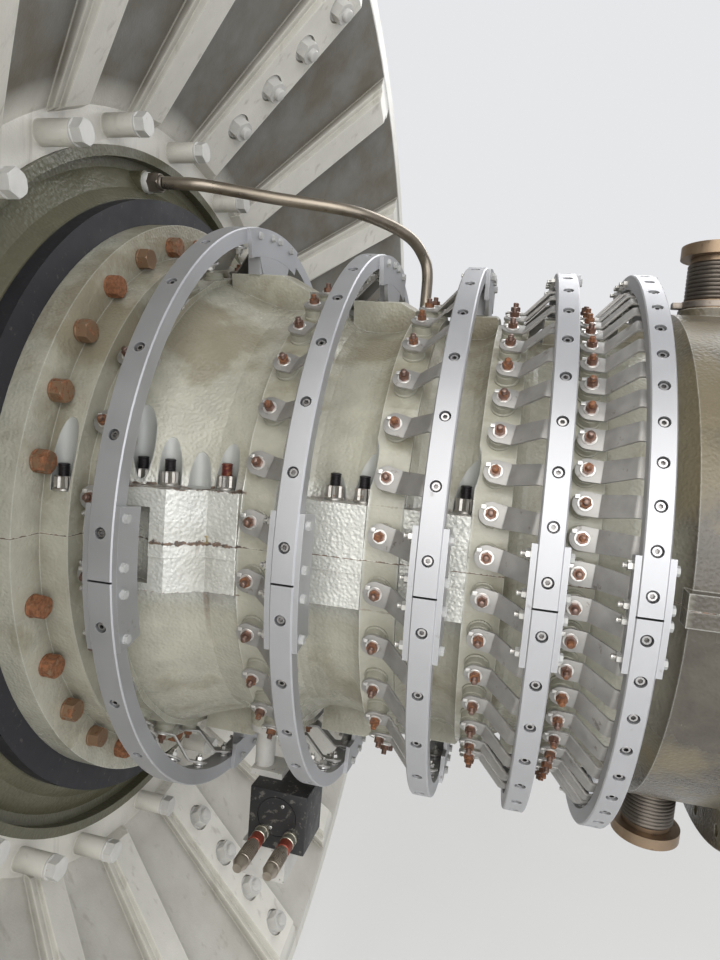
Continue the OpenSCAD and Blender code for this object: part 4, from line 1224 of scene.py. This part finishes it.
class SensorOperator(bpy.types.Operator):
    """Models the sensor housing with its round cover and screws, and its two connectors."""
    bl_idname = "compressor.sensor"
    bl_label = "Sensor"

    def execute(self, context):
        place = Matrix.Translation(SENSOR_CORNER) @ Matrix.Rotation(math.radians(SENSOR_TURN), 4, "Z")
        upright = Matrix.Rotation(math.radians(90), 4, "X")
        self.housing(place, upright)
        self.connectors(place @ upright)
        return {"FINISHED"}

    def housing(self, place, upright):
        width, depth, height = SENSOR_SIZE
        body = block("sensor_body", SENSOR_SIZE, (width / 2, depth / 2, -height / 2), 0.0016)
        groove = turned("groove", [(0.0262, -0.0016), (0.0262, 0.001)], 48)
        core = turned("core", [(0.0254, -0.003), (0.0254, 0.002)], 48)
        ring = cut(groove, core)
        ring.data.transform(upright @ Matrix.Translation((*COVER_MIDDLE, 0.0)))
        body = smooth(cut(body, ring))
        body.data.transform(place)
        screw = model_socket_screw("screw", 0.0022, 0.0016, 0.0020)
        places = [place @ upright @ Matrix.Translation((x, y, -0.0004)) for x, y in COVER_SCREWS]
        mount(body, "sensor", node="sensor_housing")
        mount(repeat(screw, places, "cover_screws", 8), "washer")

    def connectors(self, facing):
        """Socket, coloured band, knurled sleeve and end ring, each turned on its own."""
        seats = [facing @ Matrix.Translation((x, 0.021 - SENSOR_SIZE[2], 0)) for x in CONNECTOR_X]
        for name, finish, sides, notch, profile in (
                ("sockets", "socket", 40, 1, [
                    (0.0095, 0.0), (0.0095, 0.0030), (0.0086, 0.0034), (0.0086, 0.0052), (0.0094, 0.0056),
                    (0.0094, 0.0130), (0.0086, 0.0138)]),
                ("bands", "sleeve", 40, 1, [
                    (0.0084, 0.0136), (0.0090, 0.0140), (0.0090, 0.0265), (0.0084, 0.0270)]),
                ("necks", "connector", 40, 1, [(0.0080, 0.0268), (0.0080, 0.0330), (0.0088, 0.0336)]),
                ("grips", "connector", 56, 0.93, [(0.0094, 0.0336), (0.0094, 0.0560), (0.0090, 0.0568)]),
                ("tails", "connector", 40, 1, [
                    (0.0086, 0.0566), (0.0093, 0.0572), (0.0093, 0.0600), (0.0086, 0.0606),
                    (0.0086, 0.0620), (0.0092, 0.0626), (0.0092, 0.0660), (0.0070, 0.0700),
                    (0.0056, 0.0755)])):
            piece = repeat(smooth(turned(name, profile, sides, notch)), seats, f"connector_{name}", 9)
            mount(piece, finish, node="sensor_connectors")


# Lamps: name, place, aim, width in metres, power in watts, colour
LAMPS = (("key", (0.0, -2.2, 1.0), (0.35, -0.1, 0.0), 3.2, 74.0, (1.0, 0.98, 0.94)),
         ("fill", (1.9, -1.8, 0.6), (0.15, 0.0, 0.1), 2.4, 32.0, (0.97, 0.98, 1.0)),
         ("rim", (1.2, 1.6, 1.9), (0.4, 0.0, 0.1), 1.5, 26.0, (1.0, 1.0, 1.0)))


class StageOperator(bpy.types.Operator):
    """Sets up the floor, the world, the lamps and the camera."""
    bl_idname = "compressor.stage"
    bl_label = "Stage"

    def execute(self, context):
        scene = context.scene
        scene.view_settings.view_transform = "Standard"
        self.camera(scene)
        self.floor()
        self.world(scene)
        for given in LAMPS:
            self.lamp(*given)
        return {"FINISHED"}

    def camera(self, scene):
        """The photograph's viewpoint, as fitted to the circles of ring screws."""
        deselect()
        bpy.ops.object.camera_add()
        camera = bpy.context.object
        camera.name = "photo_camera"
        right = Vector((0.97124, 0.22456, 0.07915))
        up = Vector((-0.1000, 0.0830, 0.9915))
        forward = Vector((-0.21608, 0.97091, -0.10311))
        turn = Matrix((right, up, -forward)).transposed()
        camera.matrix_world = Matrix.Translation((0.5382, -0.9039, 0.1456)) @ turn.to_4x4()
        camera.data.lens = 25.265
        camera.data.sensor_width = 36.0
        camera.data.clip_start = 0.02
        scene.camera = camera

    def floor(self):
        """A pale floor just below the intake wall's rim."""
        deselect()
        middle, below_rim, width = 0.4, -0.90, 14
        bpy.ops.mesh.primitive_plane_add(size=width, location=(middle, 0.0, below_rim))
        floor = bpy.context.object
        floor.name = "floor"
        material, shader, place = start_material("Floor")
        tree = material.node_tree
        tone = blend(noise(place, 2.0, 3.0), (0.76, 0.76, 0.75, 1), (0.80, 0.80, 0.79, 1))
        put(shader, tone, rough=0.7)
        seen = add(tree, "ShaderNodeLightPath")["Is Camera Ray"] * 0.55
        glow = add(tree, "ShaderNodeEmission", {"Color": tone})[0]
        mixed = add(tree, "ShaderNodeMixShader", {0: seen, 1: Wire(shader.outputs[0]), 2: glow})[0]
        give(tree.nodes["Material Output"].inputs, {"Surface": mixed})
        floor.data.materials.append(material)

    def world(self, scene):
        """A pale backdrop for the camera and for gloss, and a low light on everything."""
        world = bpy.data.worlds.new("Studio")
        scene.world = world
        world.use_nodes = True
        tree = world.node_tree
        tree.nodes.clear()
        path = add(tree, "ShaderNodeLightPath")
        seen = held(path["Is Camera Ray"] + path["Is Glossy Ray"] * 0.35)
        back = add(tree, "ShaderNodeBackground", {"Color": (0.92, 0.93, 0.95, 1),
                                                  "Strength": spread(seen, 0.30, 0.86)})[0]
        add(tree, "ShaderNodeOutputWorld", {"Surface": back})

    def lamp(self, name, place, aim, size, power, colour):
        deselect()
        bpy.ops.object.light_add(type="AREA", location=place)
        lamp = bpy.context.object
        lamp.name = name
        lamp.data.size = size
        lamp.data.energy = power
        lamp.data.color = colour
        lamp.rotation_euler = (Vector(aim) - Vector(place)).to_track_quat("-Z", "Y").to_euler()


STEPS = (StageOperator, FinishOperator, LeverOperator, SpindleOperator, LeverEndOperator,
         RingScrewOperator, PlateBoltOperator, FlangeBoltOperator, SplitBoltOperator,
         SplitDetailOperator, WallBoltOperator, PipeOperator, NozzleOperator, SensorOperator)


class CompressorPanel(bpy.types.Panel):
    """Lists the steps that dress the compressor section."""
    bl_idname = "VIEW3D_PT_compressor"
    bl_label = "Compressor section"
    bl_space_type = "VIEW_3D"
    bl_region_type = "UI"
    bl_category = "Compressor"

    def draw(self, context):
        for step in STEPS:
            self.layout.operator(step.bl_idname)


CLASSES = (CompressorSizes, CompressorColours, *STEPS, CompressorPanel)


def register():
    for item in CLASSES:
        bpy.utils.register_class(item)
    bpy.types.Scene.compressor_sizes = PointerProperty(type=CompressorSizes)
    bpy.types.Scene.compressor_colours = PointerProperty(type=CompressorColours)


def unregister():
    del bpy.types.Scene.compressor_colours
    del bpy.types.Scene.compressor_sizes
    for item in reversed(CLASSES):
        bpy.utils.unregister_class(item)


def main():
    register()
    for step in STEPS:
        namespace, name = step.bl_idname.split(".")
        getattr(getattr(bpy.ops, namespace), name)()
    deselect()


if __name__ == "__main__":
    main()
